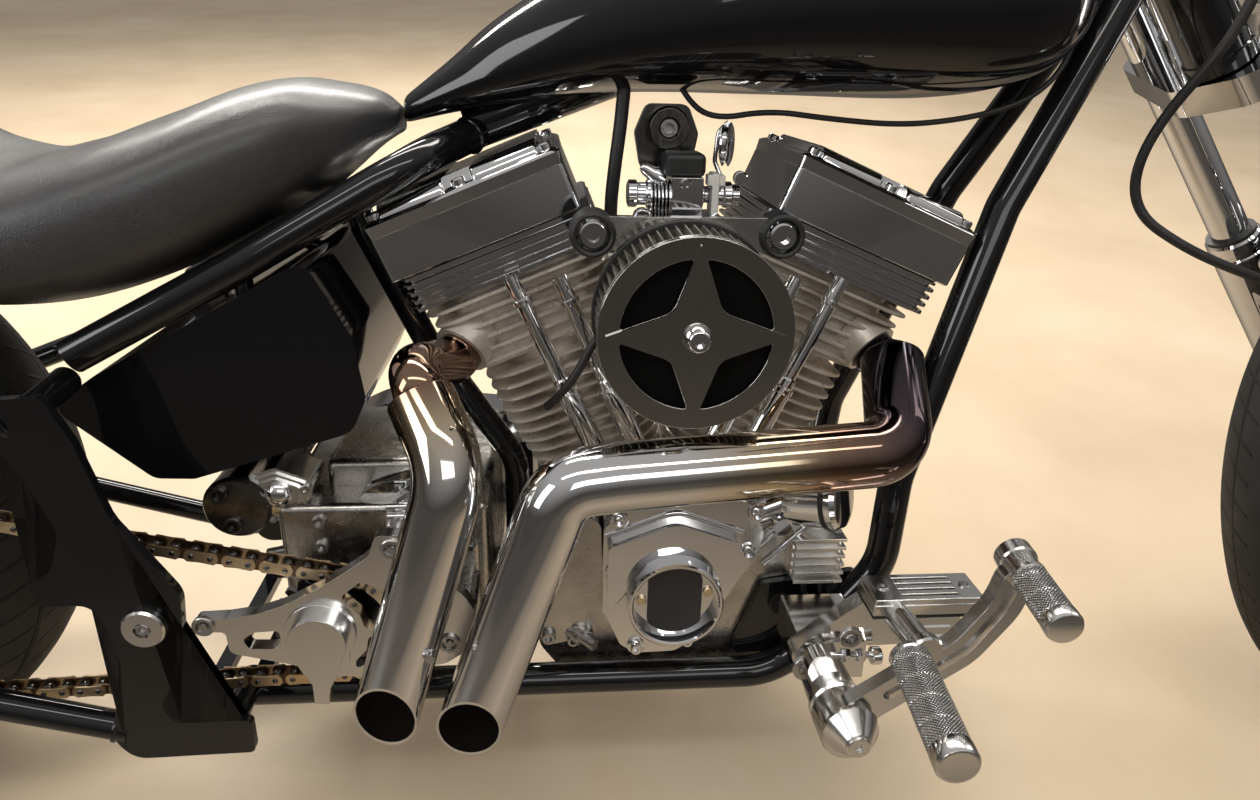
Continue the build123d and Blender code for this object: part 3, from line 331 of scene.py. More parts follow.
TREAD = treaded("tyre_tread", (0.013, 0.013, 0.013), 0.02), "tyre_black"
KNURL = knurled_metal("knurled_alloy"), "polished_aluminium"
NYLON = rubber("pale_nylon", (0.68, 0.67, 0.63), 0.35, 0.5), "polished_aluminium"
# Near black: the soot inside the pipe mouths, and painted shade behind the air cleaner's windows and deep in
# the pipes
SOOT_AND_SHADE = rubber("soot_and_painted_shade", (0.002, 0.002, 0.002), 0.6, 0.85, -0.018, Specular_IOR_Level=0.08), "matte_black"
GAUZE = cast_metal("filter_gauze", (0.2, 0.18, 0.16), (0.46, 0.42, 0.37), 0.4, 0.6, 900.0), "steel"
GLASS = Shader("lamp_glass", (0.9, 0.92, 0.94), 0.0, 0.04, Transmission_Weight=0.9, IOR=1.45).mat, "chrome"
SOFT_BLACK = rubber("moulded_rubber", (0.012, 0.012, 0.012), 0.35, 0.6), "rubber_black"
GOLD = cast_metal("chain_plate", (0.72, 0.52, 0.3), (0.98, 0.8, 0.54), 0.3, 0.5, 500.0), "chain_gold"
OLD_BRASS = cast_metal("chain_inner", (0.1, 0.06, 0.035), (0.34, 0.23, 0.14), 0.3, 0.5, 500.0), "chain_gold"
PLASTIC = rubber("matte_moulding", (0.018, 0.018, 0.019), 0.4, 0.6), "matte_black"
LENS = Shader("lamp_lens", (0.5, 0.012, 0.01), 0.0, 0.12, Coat_Weight=0.6).mat, "lamp_red"
HEAT = heat_tinted("heated_chrome"), "chrome"

NODE_LOOKS = (FRAME_BLACK, TANK_BLACK, CHROME, ALLOY, FIN_ALLOY, DARK_METAL, STEEL, SEAT_LEATHER, TYRE,
              SOFT_BLACK, GOLD, LENS, PLASTIC)
SLOTS = {slot: material for material, slot in NODE_LOOKS}
for part in frame["record"]["subparts"]:
    shown = frame["nodes"][part["node"]]
    shown.data.materials.clear()
    shown.data.materials.append(SLOTS[part["material_slot"]])

# Mesh building, in millimetres of the bike frame.
# Edges over SHARP are creased and over BEVEL_ABOVE rounded; TINY stands for a radius of nothing
SHARP, BEVEL_ABOVE = math.radians(32.0), math.radians(35.0)
TINY = 0.02
TO_RIGHT = Vector((0, -1, 0))
SIDES = (("right", -1), ("left", 1))


def spaced(count, shift=0.0):
    """Angles that divide a full turn evenly."""
    return [2 * math.pi * (i + shift) / count for i in range(count)]


def piece(name, bm, look, body="frame", bevel=0.0, subdivide=0, replaces=(), clean=True):
    """Turn a bmesh into a piece that rides on its body; a look is a material and its slot."""
    material, slot = look
    if clean:
        bmesh.ops.remove_doubles(bm, verts=bm.verts[:], dist=0.01)
        bmesh.ops.recalc_face_normals(bm, faces=bm.faces[:])
    for edge in bm.edges:
        edge.smooth = edge.calc_face_angle(0.0) < SHARP
    for face in bm.faces:
        face.smooth = True
    bm.transform(TO_METRES @ PLACES[body])
    mesh = bpy.data.meshes.new(name)
    bm.to_mesh(mesh)
    bm.free()
    mesh.materials.append(material)
    obj = bpy.data.objects.new(name, mesh)
    bpy.context.scene.collection.objects.link(obj)
    if bevel:
        mod = obj.modifiers.new("bevel", "BEVEL")
        mod.width = bevel * MM
        mod.segments = 2
        mod.limit_method = "ANGLE"
        mod.angle_limit = BEVEL_ABOVE
        mod.harden_normals = True
    if subdivide:
        mod = obj.modifiers.new("smooth", "SUBSURF")
        mod.levels = mod.render_levels = subdivide
    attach(obj, body)
    if replaces:
        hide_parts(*replaces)
    return obj


def loft(bm, rings, caps=True):
    """Skin rings of equal length; each ring is closed on itself."""
    made = [[bm.verts.new(p) for p in ring] for ring in rings]
    count = len(made[0])
    for low, high in zip(made, made[1:]):
        for i in range(count):
            j = (i + 1) % count
            bm.faces.new((low[i], low[j], high[j], high[i]))
    if caps:
        bm.faces.new(made[0][::-1])
        bm.faces.new(made[-1])


def frame_of(direction):
    """Two unit vectors square to a direction."""
    d = Vector(direction).normalized()
    ref = Vector((0, 1, 0)) if abs(d.y) < 0.9 else Vector((1, 0, 0))
    u = d.cross(ref).normalized()
    return u, d.cross(u).normalized()


def lathe(bm, a, b, profile, segs=48, caps=True):
    """Turned part from a towards b; profile rows are (distance from a, radius).

    A profile that ends where it starts is a closed ring and gets no caps.
    """
    a, b = Vector(a), Vector(b)
    d = (b - a).normalized()
    u, v = frame_of(d)
    rings = []
    for t, r in profile:
        r = max(r, TINY)
        rings.append([a + d * t + (u * math.cos(k) + v * math.sin(k)) * r for k in spaced(segs)])
    loft(bm, rings, caps and profile[0] != profile[-1])


def bent(points, radius, step=6.0):
    """Polyline with its corners rounded to a bend radius, as a tube bender leaves it."""
    pts = [Vector(p) for p in points]
    path = [pts[0]]
    for before, corner, after in zip(pts, pts[1:], pts[2:]):
        d0, d1 = (corner - before).normalized(), (after - corner).normalized()
        turn = d0.angle(d1)
        if turn < 0.01:
            continue
        reach = radius * math.tan(turn / 2)
        reach = min(reach, 0.49 * (corner - before).length, 0.49 * (after - corner).length)
        true_r = reach / math.tan(turn / 2)
        normal = (d1 - d0 * d0.dot(d1)).normalized()
        start = corner - d0 * reach
        centre = start + normal * true_r
        count = max(3, int(true_r * turn / step))
        for i in range(count + 1):
            k = turn * i / count
            path.append(centre + (d0 * math.sin(k) - normal * math.cos(k)) * true_r)
    path.append(pts[-1])
    return path


def sweep(bm, path, radius, segs=32, caps=True, radii=None):
    """Round section carried along a path without twist; returns arc lengths."""
    path = [Vector(p) for p in path]
    rings, lengths, total = [], [], 0.0
    direction = (path[1] - path[0]).normalized()
    u, _ = frame_of(direction)
    for i, p in enumerate(path):
        ahead = path[min(i + 1, len(path) - 1)] - path[max(i - 1, 0)]
        d = ahead.normalized()
        u = (u - d * u.dot(d)).normalized()
        v = d.cross(u)
        r = radii[i] if radii else radius
        rings.append([p + (u * math.cos(k) + v * math.sin(k)) * r for k in spaced(segs)])
        if i:
            total += (p - path[i - 1]).length
        lengths.append(total)
    loft(bm, rings, caps)
    return lengths


def prism(bm, outline, y_from, y_to, matrix=None):
    """Plate of an (x, z) outline between two y values; the outline may be concave."""
    top, low = max(y_from, y_to), min(y_from, y_to)
    front = [bm.verts.new((x, low, z)) for x, z in outline]
    back = [bm.verts.new((x, top, z)) for x, z in outline]
    count = len(outline)
    faces = [bm.faces.new(front), bm.faces.new(back[::-1])]
    for i in range(count):
        j = (i + 1) % count
        bm.faces.new((front[i], back[i], back[j], front[j]))
    bmesh.ops.triangulate(bm, faces=faces)
    if matrix is not None:
        bmesh.ops.transform(bm, matrix=matrix, verts=front + back)


def filleted(points, radius, step=2.5):
    """Closed (x, z) outline with arcs at its corners, of one radius or of one for each corner."""
    out = []
    count = len(points)
    for i in range(count):
        before, corner, after = (Vector(points[(i + k) % count]) for k in (-1, 0, 1))
        r = radius[i] if isinstance(radius, (list, tuple)) else radius
        d0, d1 = (corner - before).normalized(), (after - corner).normalized()
        turn = math.acos(max(-1.0, min(1.0, d0.dot(d1))))
        if turn < 0.02 or r <= 0:
            out.append(tuple(corner))
            continue
        reach = min(r * math.tan(turn / 2), 0.48 * (corner - before).length, 0.48 * (after - corner).length)
        true_r = reach / math.tan(turn / 2)
        sign = 1.0 if d0.x * d1.y - d0.y * d1.x > 0 else -1.0
        normal = Vector((-d0.y, d0.x)) * sign
        centre = corner - d0 * reach + normal * true_r
        steps = max(2, int(true_r * turn / step))
        for j in range(steps + 1):
            k = turn * j / steps
            p = centre + (d0 * math.sin(k) - normal * math.cos(k)) * true_r
            out.append((p.x, p.y))
    return out


def rounded(x0, x1, y_half, r, per_corner=6):
    """Rounded rectangle as (x, y) points."""
    r = min(r, (x1 - x0) / 2 - 0.01, y_half - 0.01)
    pts = []
    for cx, cy, start in ((x1 - r, y_half - r, 0), (x0 + r, y_half - r, 90), (x0 + r, r - y_half, 180),
                          (x1 - r, r - y_half, 270)):
        for i in range(per_corner + 1):
            k = math.radians(start + 90 * i / per_corner)
            pts.append((cx + r * math.cos(k), cy + r * math.sin(k)))
    return pts


def block(bm, x0, x1, y0, y1, z0, z1, matrix=None):
    """Box between two planes along each axis; its y values come in any order."""
    y0, y1 = sorted((y0, y1))
    made = bmesh.ops.create_cube(bm, size=1.0)["verts"]
    fit = (Matrix.Translation(((x0 + x1) / 2, (y0 + y1) / 2, (z0 + z1) / 2))
           @ Matrix.Diagonal((x1 - x0, y1 - y0, z1 - z0, 1.0)))
    bmesh.ops.transform(bm, matrix=(matrix @ fit) if matrix is not None else fit, verts=made)


def cupped(radius, shoulder, top, top_radius, hole, floor):
    """Profile of a round boss with a chamfered rim and a flat-bottomed recess."""
    return [(0, radius), (shoulder, radius), (top, top_radius), (top, hole), (floor, hole), (floor, TINY)]


def collar(length, radius, edge, drop):
    """Profile of a barrel with a chamfer at both rims."""
    return [(0, radius - drop), (edge, radius), (length - edge, radius), (length, radius - drop)]


def hex_prism(bm, a, b, r):
    """Six-sided bolt head between two points."""
    lathe(bm, a, b, [(0, r), ((Vector(b) - Vector(a)).length, r)], 6)


def socket_bolt(bm, at, out, r, head=8.0, segs=32):
    """Cap screw: head with a chamfered rim and a round socket."""
    at, out = Vector(at), Vector(out).normalized()
    lathe(bm, at, at + out * head, cupped(r, head * 0.8, head, r * 0.86, r * 0.5, head * 0.35), segs)


def polar(centre, r, angle, y=0.0):
    """Point at a radius and an angle about a centre, in the plane of one y."""
    return Vector((centre.x + r * math.cos(angle), y, centre.z + r * math.sin(angle)))


def ring_loop(centre, r, count=96):
    """Circle of (x, z) points about a centre."""
    return [(centre.x + r * math.cos(k), centre.z + r * math.sin(k)) for k in spaced(count)]


def arc(x, z, r, start, turn, steps):
    """Points (x, z) along an arc; its angles are in degrees."""
    angles = [math.radians(start + turn * i / steps) for i in range(steps + 1)]
    return [(x + r * math.cos(k), z + r * math.sin(k)) for k in angles]


def turned(name, look, a, b, profile, segs=48, **how):
    """Piece of one turned part."""
    bm = bmesh.new()
    lathe(bm, a, b, profile, segs)
    piece(name, bm, look, **how)


def plate(name, look, outline, y0, y1, **how):
    """Piece of one flat plate."""
    bm = bmesh.new()
    prism(bm, outline, y0, y1)
    piece(name, bm, look, **how)


def single(name, look, maker, *shape, **how):
    """Piece of one shape, drawn by one of the makers above."""
    bm = bmesh.new()
    maker(bm, *shape)
    piece(name, bm, look, **how)


def boxes(name, look, *sizes, **how):
    """Piece of square blocks."""
    bm = bmesh.new()
    for size in sizes:
        block(bm, *size)
    piece(name, bm, look, **how)


def bolts(name, look, places, out, r, head):
    """Piece of like cap screws."""
    bm = bmesh.new()
    for at in places:
        socket_bolt(bm, at, out, r, head)
    piece(name, bm, look)


# Engine frames
CRANK = Vector((930.0, 0.0, 235.0))
V_HALF = math.radians(22.5)


def on_cylinder(sign):
    """Matrix of a cylinder's own frame: x outward from the V, z up the bore, y the bike's."""
    up = Vector((sign * math.sin(V_HALF), 0, math.cos(V_HALF)))
    out = Vector((sign * math.cos(V_HALF), 0, -math.sin(V_HALF)))
    m = Matrix.Identity(4)
    m.col[0][:3] = out
    m.col[1][:3] = Vector((0, 1, 0))
    m.col[2][:3] = up
    m.col[3][:3] = CRANK
    return m


def stack(bm, matrix, levels, per_corner=6):
    """Loft of rounded rectangles: level rows are (z, x0, x1, y half, corner radius)."""
    rings = []
    for z, x0, x1, yh, r in levels:
        rings.append([matrix @ Vector((x, y, z)) for x, y in rounded(x0, x1, yh, r, per_corner)])
    loft(bm, rings)


CYLINDERS = (("front", 1), ("rear", -1))
DECK, HEAD_H, BASE_H, BOX_H, CAP_H = 146.0, 296.0, 372.0, 405.0, 453.0
FIN_STEP = 12.397
PORT_IN, PORT_OUT = Vector((62, -46, 330)), Vector((80, -64, 322))


def finned_levels(z_first, count, thick, core, fin_of):
    """Levels of a finned barrel; fin_of gives the outline of fin i."""
    rows = []
    for i in range(count):
        z = z_first + i * FIN_STEP
        x0, x1, yh, r = fin_of(i)
        soft = 1.1
        rows.append((z, *core))
        rows.append((z, x0 + soft, x1 - soft, yh - soft, r - soft))
        rows.append((z + 0.7, x0, x1, yh, r))
        rows.append((z + thick - 0.7, x0, x1, yh, r))
        rows.append((z + thick, x0 + soft, x1 - soft, yh - soft, r - soft))
        rows.append((z + thick, *core))
    return rows


def cylinder(label, axis):
    """Finned barrel and head, with the stub of the exhaust port."""
    bm = bmesh.new()
    core = (-58.0, 58.0, 58.0, 57.9)

    def barrel_fin(i):
        grow = min(1.0, 0.88 + 0.02 * i)
        z = DECK + 12 + i * FIN_STEP
        inner = min(74 * grow, z * math.tan(V_HALF) - 2.5)
        return (-inner, 74 * grow, 72 * grow, 38.0)

    rows = [(DECK + 0.3, *core)] + finned_levels(DECK + 12, 11, 3.2, core, barrel_fin) + [(HEAD_H, *core)]
    stack(bm, axis, rows, 8)
    head_core = (-64.0, 76.0, 62.0, 20.0)

    def head_fin(i):
        grow = 0.86 + 0.028 * i
        return (-80 * grow, 96 * grow, 80 * grow, 24.0)

    rows = [(HEAD_H, *head_core)] + finned_levels(HEAD_H + 4, 6, 3.4, head_core, head_fin)
    rows.append((BASE_H - 0.3, *head_core))
    stack(bm, axis, rows, 8)
    port_in, port_out = axis @ PORT_IN, axis @ PORT_OUT
    lathe(bm, port_in, port_out, [(0, 27), ((port_out - port_in).length, 27)])
    piece(label + "_fins", bm, FIN_ALLOY, replaces=(label + "_cylinder",))


def rocker_box(label, axis):
    """Fluted base, mirror panel, cap with two domed halves and its screws."""
    bm = bmesh.new()
    rows = []
    for i in range(4):
        z = BASE_H + i * 7.4
        rows += [(z, -79, 95, 79, 7), (z + 0.4, -82, 98, 82, 8), (z + 1.2, -84, 100, 84, 8),
                 (z + 4.2, -84, 100, 84, 8), (z + 5.2, -82, 98, 82, 8), (z + 5.8, -79, 95, 79, 7)]
    rows += [(BASE_H + 29.6, -79, 95, 79, 7), (BASE_H + 29.8, -83, 99, 83, 8), (BOX_H - 0.6, -83, 99, 83, 8)]
    stack(bm, axis, rows)
    piece(label + "_rocker_base", bm, CHROME)
    single(label + "_rocker_gasket", SOFT_BLACK, stack, axis,
           [(BOX_H - 0.8, -81, 97, 81, 6), (BOX_H + 0.9, -81, 97, 81, 6)])
    single(label + "_rocker_panel", CHROME, stack, axis,
           [(BOX_H + 0.8, -73, 105, 85, 5), (BOX_H + 2.0, -75, 107, 87, 6), (CAP_H - 7, -75, 107, 87, 6),
            (CAP_H - 6.6, -74.4, 106.4, 86.4, 6), (CAP_H - 6.2, -75, 107, 87, 6),
            (CAP_H + 4, -76, 108, 88, 6), (CAP_H + 6, -74, 106, 86, 6), (CAP_H + 8, -71, 103, 83, 6)],
           replaces=(label + "_rocker_box",))
    bm = bmesh.new()
    for x0, x1 in ((-58, 3), (29, 90)):
        stack(bm, axis, [(CAP_H + 6 + 12 * math.sin(k), x0, x1, 69 + 15.5 * math.cos(k), 3)
                         for k in (math.radians(15 * step) for step in range(7))])
    stack(bm, axis, [(CAP_H + 6, -68, 100, 62, 6), (CAP_H + 18, -56, 88, 58, 6)])
    piece(label + "_rocker_cap", bm, CHROME, bevel=1.2)
    bm = bmesh.new()
    for x in (-64, 16, 96):
        for y in (-74, 74):
            socket_bolt(bm, axis @ Vector((x, y, CAP_H + 7)), axis.to_3x3() @ Vector((0, 0, 1)), 6.5, 7)
    piece(label + "_rocker_screws", bm, CHROME)


for label, sign in CYLINDERS:
    cylinder(label, on_cylinder(sign))
    rocker_box(label, on_cylinder(sign))

# Pushrod tubes: telescoping chrome with collars, over a shared lifter block
bm = bmesh.new()
FEET_Z = 171.0
for side in (-1, 1):
    for top_x, foot_x in ((149, 64.5), (107, 26)):
        a = CRANK + Vector((side * foot_x, -112, FEET_Z - 2))
        b = CRANK + Vector((side * top_x, -96, 345))
        run = (b - a).length
        lathe(bm, a, b, [(0, 14), (7, 14), (9, 11), (16, 11), (17, 10), (run * 0.40, 10),
                         (run * 0.405, 11.5), (run * 0.425, 11.5), (run * 0.435, 9), (run * 0.47, 8.6),
                         (run * 0.48, 7.2), (run * 0.86, 7.2), (run * 0.865, 9.0), (run * 0.885, 9.0),
                         (run * 0.89, 7.2), (run, 7.2)], 36)
piece("pushrod_covers", bm, CHROME, replaces=("pushrod_tubes",))
bm = bmesh.new()
lifter = [(CRANK.x - 86, 377.5), (CRANK.x + 86, 377.5), (CRANK.x + 78, 407), (CRANK.x - 78, 407)]
prism(bm, filleted(lifter, 5), -99, -127)
piece("lifter_block", bm, ALLOY, bevel=1.5)

# Air cleaner: pleated element, dark cover with a four-pointed star, chrome cone
AC = (928.0, 561.0)
COVER_R, STAR_R, WINDOW_R, STAR_WAIST = 77.0, 72.5, 60.0, 0.264
STAR_TIP_R, STAR_VALLEY_R = 0.8, 15.0
PLEATS = 62
PLEAT_SHAPE = (75.6, 75.6, 70.0, 63.5, 63.5, 70.0)


def ac(x, z, y):
    """Point beside the air cleaner's centre."""
    return Vector((AC[0] + x, y, AC[1] + z))


def at_cleaner(loop):
    """Outline about the air cleaner's centre."""
    return [(AC[0] + x, AC[1] + z) for x, z in loop]


bm = bmesh.new()
rings = []
for y in (-151.0, -207.0):
    ring = []
    for i, k in enumerate(spaced(PLEATS * len(PLEAT_SHAPE))):
        r = PLEAT_SHAPE[i % len(PLEAT_SHAPE)]
        ring.append(ac(r * math.cos(k), r * math.sin(k), y))
    rings.append(ring)
loft(bm, rings)
piece("air_element", bm, GAUZE)
bm = bmesh.new()
lathe(bm, ac(0, 0, -140), ac(0, 0, -150), [(0, 76), (1, 77.4), (9, 77.4), (10, 76)], 96)
back_plate = at_cleaner([(-92, 52), (92, 52), (92, 80), (-92, 80)])
prism(bm, filleted(back_plate, 12), -139, -148)
piece("air_backplate", bm, ALLOY, bevel=1.0, replaces=("air_cleaner",))
turned("air_element_rim", CHROME, ac(0, 0, -206.2), ac(0, 0, -216),
       [(0, 74.8), (0, 76.6), (0.4, 77.1), (1.9, 77.1), (1.9, 74.8), (0, 74.8)], 128)
turned("air_element_seal", SOFT_BLACK, ac(0, 0, -149.5), ac(0, 0, -160),
       [(0, 73), (0, 77.6), (1, 78.4), (3, 78.4), (4, 77.4), (4, 73), (0, 73)], 128)


def star_outline(r):
    """Four straight-sided points with rounded valleys, as (x, z) about the cleaner's centre."""
    v = STAR_WAIST * r
    pts = [(r, 0), (v, v), (0, r), (-v, v), (-r, 0), (-v, -v), (0, -r), (v, -v)]
    return filleted(pts, [STAR_TIP_R, STAR_VALLEY_R] * 4, 0.8)


def star_window(quadrant):
    """Opening between two star points: its inner edges follow the star."""
    r = STAR_R + 1.0
    v = STAR_WAIST * r
    slope = v / (v - r)
    # Where the star's edge z = slope * (x - r) meets the window's circle
    a, b, c = 1 + slope ** 2, -2 * slope ** 2 * r, slope ** 2 * r ** 2 - WINDOW_R ** 2
    x = (-b + math.sqrt(b * b - 4 * a * c)) / (2 * a)
    start = math.atan2(slope * (x - r), x)
    steps = 14
    pts = [(v, v)]
    radii = [STAR_VALLEY_R]
    for i in range(steps + 1):
        k = start + (math.pi / 2 - 2 * start) * i / steps
        pts.append((WINDOW_R * math.cos(k), WINDOW_R * math.sin(k)))
        radii.append(7.0 if i in (0, steps) else 0.0)
    for _ in range(quadrant):
        pts = [(-z, x) for x, z in pts]
    return filleted(pts, radii, 0.8)


def sheet(bm, outer, holes, y_from, y_to):
    """Flat plate of (x, z) loops with openings, as one closed skin."""
    edges = []
    for loop in [outer] + holes:
        verts = [bm.verts.new((x, y_from, z)) for x, z in loop]
        edges += [bm.edges.new((verts[i], verts[(i + 1) % len(verts)])) for i in range(len(verts))]
    made = bmesh.ops.triangle_fill(bm, use_beauty=True, edges=edges)["geom"]
    faces = [g for g in made if isinstance(g, bmesh.types.BMFace)]
    grown = bmesh.ops.extrude_face_region(bm, geom=faces)["geom"]
    verts = [g for g in grown if isinstance(g, bmesh.types.BMVert)]
    bmesh.ops.translate(bm, verts=verts, vec=(0, y_to - y_from, 0))


bm = bmesh.new()
circle = ring_loop(Vector((0, 0, 0)), COVER_R, 128)
sheet(bm, at_cleaner(circle), [at_cleaner(star_window(q)) for q in range(4)], -208, -214.6)
piece("air_cover", bm, DARK_MIRROR, bevel=0.7, replaces=("air_cleaner_cover",))
plate("air_star", DARK_MIRROR, at_cleaner(star_outline(STAR_R)), -214.4, -217.2, bevel=0.6)
turned("air_cone", CHROME, ac(0, 0, -216), ac(0, 0, -236),
       [(0, 11.4), (2.4, 11.4), (3.6, 10.6), (4.4, 11.2), (11.5, 9.4), (13.5, 8.2), (14, 7.4), (14, 4.8),
        (9, 4.6), (9, TINY)], 64)
# Near-black disc behind the cover's windows, in front of the element: painted shade
turned("air_window_shade", SOOT_AND_SHADE, ac(0, 0, -207.1), ac(0, 0, -208), [(0, 72), (0.6, 72)], 64)
bm = bmesh.new()
ring = bmesh.new()
for x in (-77.5, 77.5):
    at = ac(x, 66, -130)
    lathe(ring, at, at + TO_RIGHT,
          [(0, 14), (0, 19), (20, 19), (24, 18), (25, 16), (24, 14), (18, 13.5), (18, TINY)], 48)
    socket_bolt(bm, ac(x, 66, -147), TO_RIGHT, 11.5, 9)
piece("air_bolt_cups", ring, SOFT_BLACK)
piece("air_bolts", bm, CHROME)

# Exhausts: headers slipped into wider drag pipes, browned near the ports
HEADER_R, PIPE_R, PIPE_WALL = 22.0, 28.575, 2.5
FRONT_PIPE = [(1131, -108, 505), (1115, -190, 450), (870, -216, 443), (824, -220, 439), (742, -236, 210)]
REAR_PIPE = [(710, -172, 495), (738, -212, 448), (671, -231, 222)]
PIPE_SEGS = 64
SLASH, SLASH_TURN = 1.7, math.radians(8)
LINING_DEPTH = 118.0


def slash_slope(direction):
    """Direction in which the slanted mouth rises: out from the bike, turned a little forward."""
    side = (TO_RIGHT - direction * TO_RIGHT.dot(direction)).normalized()
    return side * math.cos(SLASH_TURN) + direction.cross(side) * math.sin(SLASH_TURN)


def exhaust(name, sign, header, bend, pipe, pipe_bend, hot, fade):
    """Header and drag pipe; the heat attribute falls from the port over the fade's length."""
    axis = on_cylinder(sign)
    port, tip = axis @ PORT_IN, axis @ PORT_OUT
    d = (tip - port).normalized()
    bm = bmesh.new()
    heat = bm.verts.layers.float.new("pipe_heat")
    sweep(bm, bent([tip, tip + d * 14] + [Vector(p) for p in header], bend, 3.0), HEADER_R, 48)
    path = bent(pipe, pipe_bend, 3.0)
    # Slip joint: the pipe's rolled edge round the header
    first, fore = path[0], (path[1] - path[0]).normalized()
    lathe(bm, first - fore * 1.5, first,
          [(1.5, PIPE_R), (0.4, PIPE_R - 0.5), (0.0, PIPE_R - 1.4), (0.0, HEADER_R + 0.4),
           (3.0, HEADER_R + 0.3)], PIPE_SEGS, caps=False)
    for v in bm.verts:
        v[heat] = hot
    start = len(bm.verts)
    lengths = sweep(bm, path, PIPE_R, PIPE_SEGS, caps=False)
    bm.verts.ensure_lookup_table()
    for i in range(start, len(bm.verts)):
        bm.verts[i][heat] = hot * max(0.0, 1.0 - lengths[(i - start) // PIPE_SEGS] / fade)
    # Slash-cut mouth: a slanted rim with a rounded lip, then a sooty wall
    end, along_pipe = path[-1], (path[-1] - path[-2]).normalized()
    slope = slash_slope(along_pipe)
    outline = [v.co - end for v in bm.verts[-PIPE_SEGS:]]
    slanted = [o - along_pipe * SLASH * o.dot(slope) for o in outline]
    for v, o in zip(bm.verts[-PIPE_SEGS:], slanted):
        v.co = end + o
    inner = 1.0 - PIPE_WALL / PIPE_R
    lip = ((1.0, 0.0), (0.985, 0.7), ((1.0 + inner) / 2, 0.9), (inner + 0.01, 0.5), (inner, -1.0))
    loft(bm, [[end + o * scale + along_pipe * out for o in slanted] for scale, out in lip], caps=False)
    piece(name + "_pipe", bm, HEAT, replaces=(name + "_exhaust",), clean=False)
    # Sooty lining inside the mouth; the near-black disc that closes it deep inside is painted shade for the
    # pipe's dark depth
    bm = bmesh.new()
    loft(bm, [[end + o * inner - along_pipe * 0.9 for o in slanted],
              [end + o * inner - along_pipe * LINING_DEPTH for o in outline],
              [end + o * 0.01 - along_pipe * LINING_DEPTH for o in outline]], caps=False)
    piece(name + "_pipe_inside", bm, SOOT_AND_SHADE, clean=False)


exhaust("front", 1, [(1135, -106, 502)], 18, FRONT_PIPE, 40, 1.0, 420.0)
exhaust("rear", -1, [(700, -140, 510), (713, -178, 489)], 24, REAR_PIPE, 60, 0.62, 150.0)


# Tank and seat: sections carried along x, with smooth sides


def smooth_rows(rows, per_gap):
    """Catmull-Rom rows between station rows."""
    out = []
    for i in range(len(rows) - 1):
        p0, p1, p2, p3 = (rows[max(i - 1, 0)], rows[i], rows[i + 1], rows[min(i + 2, len(rows) - 1)])
        for j in range(per_gap):
            t = j / per_gap
            out.append(tuple(
                0.5 * (2 * b + (c - a) * t + (2 * a - 5 * b + 4 * c - d) * t * t
                       + (3 * b - a - 3 * c + d) * t ** 3) for a, b, c, d in zip(p0, p1, p2, p3)))
    out.append(rows[-1])
    return out


def signed_power(value, power):
    """Power of a value's size that keeps its sign."""
    return math.copysign(abs(value) ** power, value)


def hull_rings(rows, count, top_power, low_power):
    """Rings (x, y, z) of squared-off ovals: rows are (x, z low, z high, half width, z of widest)."""
    rings = []
    for x, z0, z1, hw, zw in rows:
        ring = []
        for t in spaced(count):
            y = hw * signed_power(math.cos(t), 0.72)
            s = math.sin(t)
            if s >= 0:
                z = zw + (z1 - zw) * signed_power(s, top_power)
            else:
                z = zw + (zw - z0) * signed_power(s, low_power)
            ring.append(Vector((x, y, z)))
        rings.append(ring)
    return rings


TANK_ROWS = [
    # x, z low, z high, half width, z of the widest line
    (686, 700, 722, 24, 710), (730, 710, 756, 44, 728), (780, 719, 796, 66, 748), (880, 731, 852, 100, 780),
    (1020, 732, 905, 126, 806), (1150, 732, 922, 132, 816), (1235, 746, 903, 114, 818),
    (1280, 774, 876, 78, 822), (1297, 800, 852, 34, 826)]
bm = bmesh.new()
rings = hull_rings(smooth_rows(TANK_ROWS, 5), 40, 0.82, 0.7)
loft(bm, rings)
piece("tank_shell", bm, TANK_BLACK, subdivide=1, replaces=("fuel_tank",))
bm = bmesh.new()
cap = Vector((1074, -60, 930))
seat_at = Vector((1080, -52, 896))
lathe(bm, seat_at, cap, [(0, 36), (8, 36), (10, 33), (14, 31), (26, 31), (30, 29), (34, 22), (36, TINY)], 64)
piece("cap_dome", bm, CHROME, replaces=("filler_cap",))

SEAT_ROWS = [
    # x, z low, z high, half width, z of the widest line
    (684, 692, 712, 22, 701), (664, 680, 726, 56, 702), (630, 652, 734, 90, 694), (590, 624, 737, 118, 682),
    (520, 586, 716, 146, 652), (440, 557, 686, 164, 622), (370, 552, 670, 168, 612),
    (300, 560, 678, 160, 620), (235, 604, 708, 146, 654), (178, 654, 748, 120, 702),
    (146, 694, 760, 96, 726), (134, 710, 752, 60, 731)]
bm = bmesh.new()
rings = hull_rings(smooth_rows(SEAT_ROWS, 6), 56, 0.8, 0.55)
rng = random.Random(7)
phases = [rng.uniform(0, 6.28) for _ in range(6)]
for ring in rings:
    for p in ring:
        # Soft creases that run across the pad
        wave = (math.sin(p.x * 0.045 + p.y * 0.01 + phases[0]) + 0.6
                * math.sin(p.x * 0.09 - p.y * 0.02 + phases[1]))
        p.z += 0.8 * wave * (1 if p.z > 640 else 0.3)
loft(bm, rings)
seat_pad = piece("seat_pad", bm, SEAT_LEATHER, subdivide=1, replaces=("seat",))

# Chain: plates, rollers and pins, link by link
PITCH, CHAIN_Y = 15.875, -156.0
FRONT_TEETH, REAR_TEETH = 21, 51
DRIVE = Vector((620.0, 0.0, 268.0))


def pitch_radius(teeth):
    """Radius of a sprocket's pitch circle."""
    return PITCH / (2 * math.sin(math.pi / teeth))


def toothed(centre, teeth, flank):
    """Outline of a sprocket; its flank is (share of a tooth round, height over the pitch line)."""
    outline = []
    for i in range(teeth):
        for k, height in flank:
            p = polar(centre, pitch_radius(teeth) + height, 2 * math.pi * (i + k) / teeth)
            outline.append((p.x, p.z))
    return outline


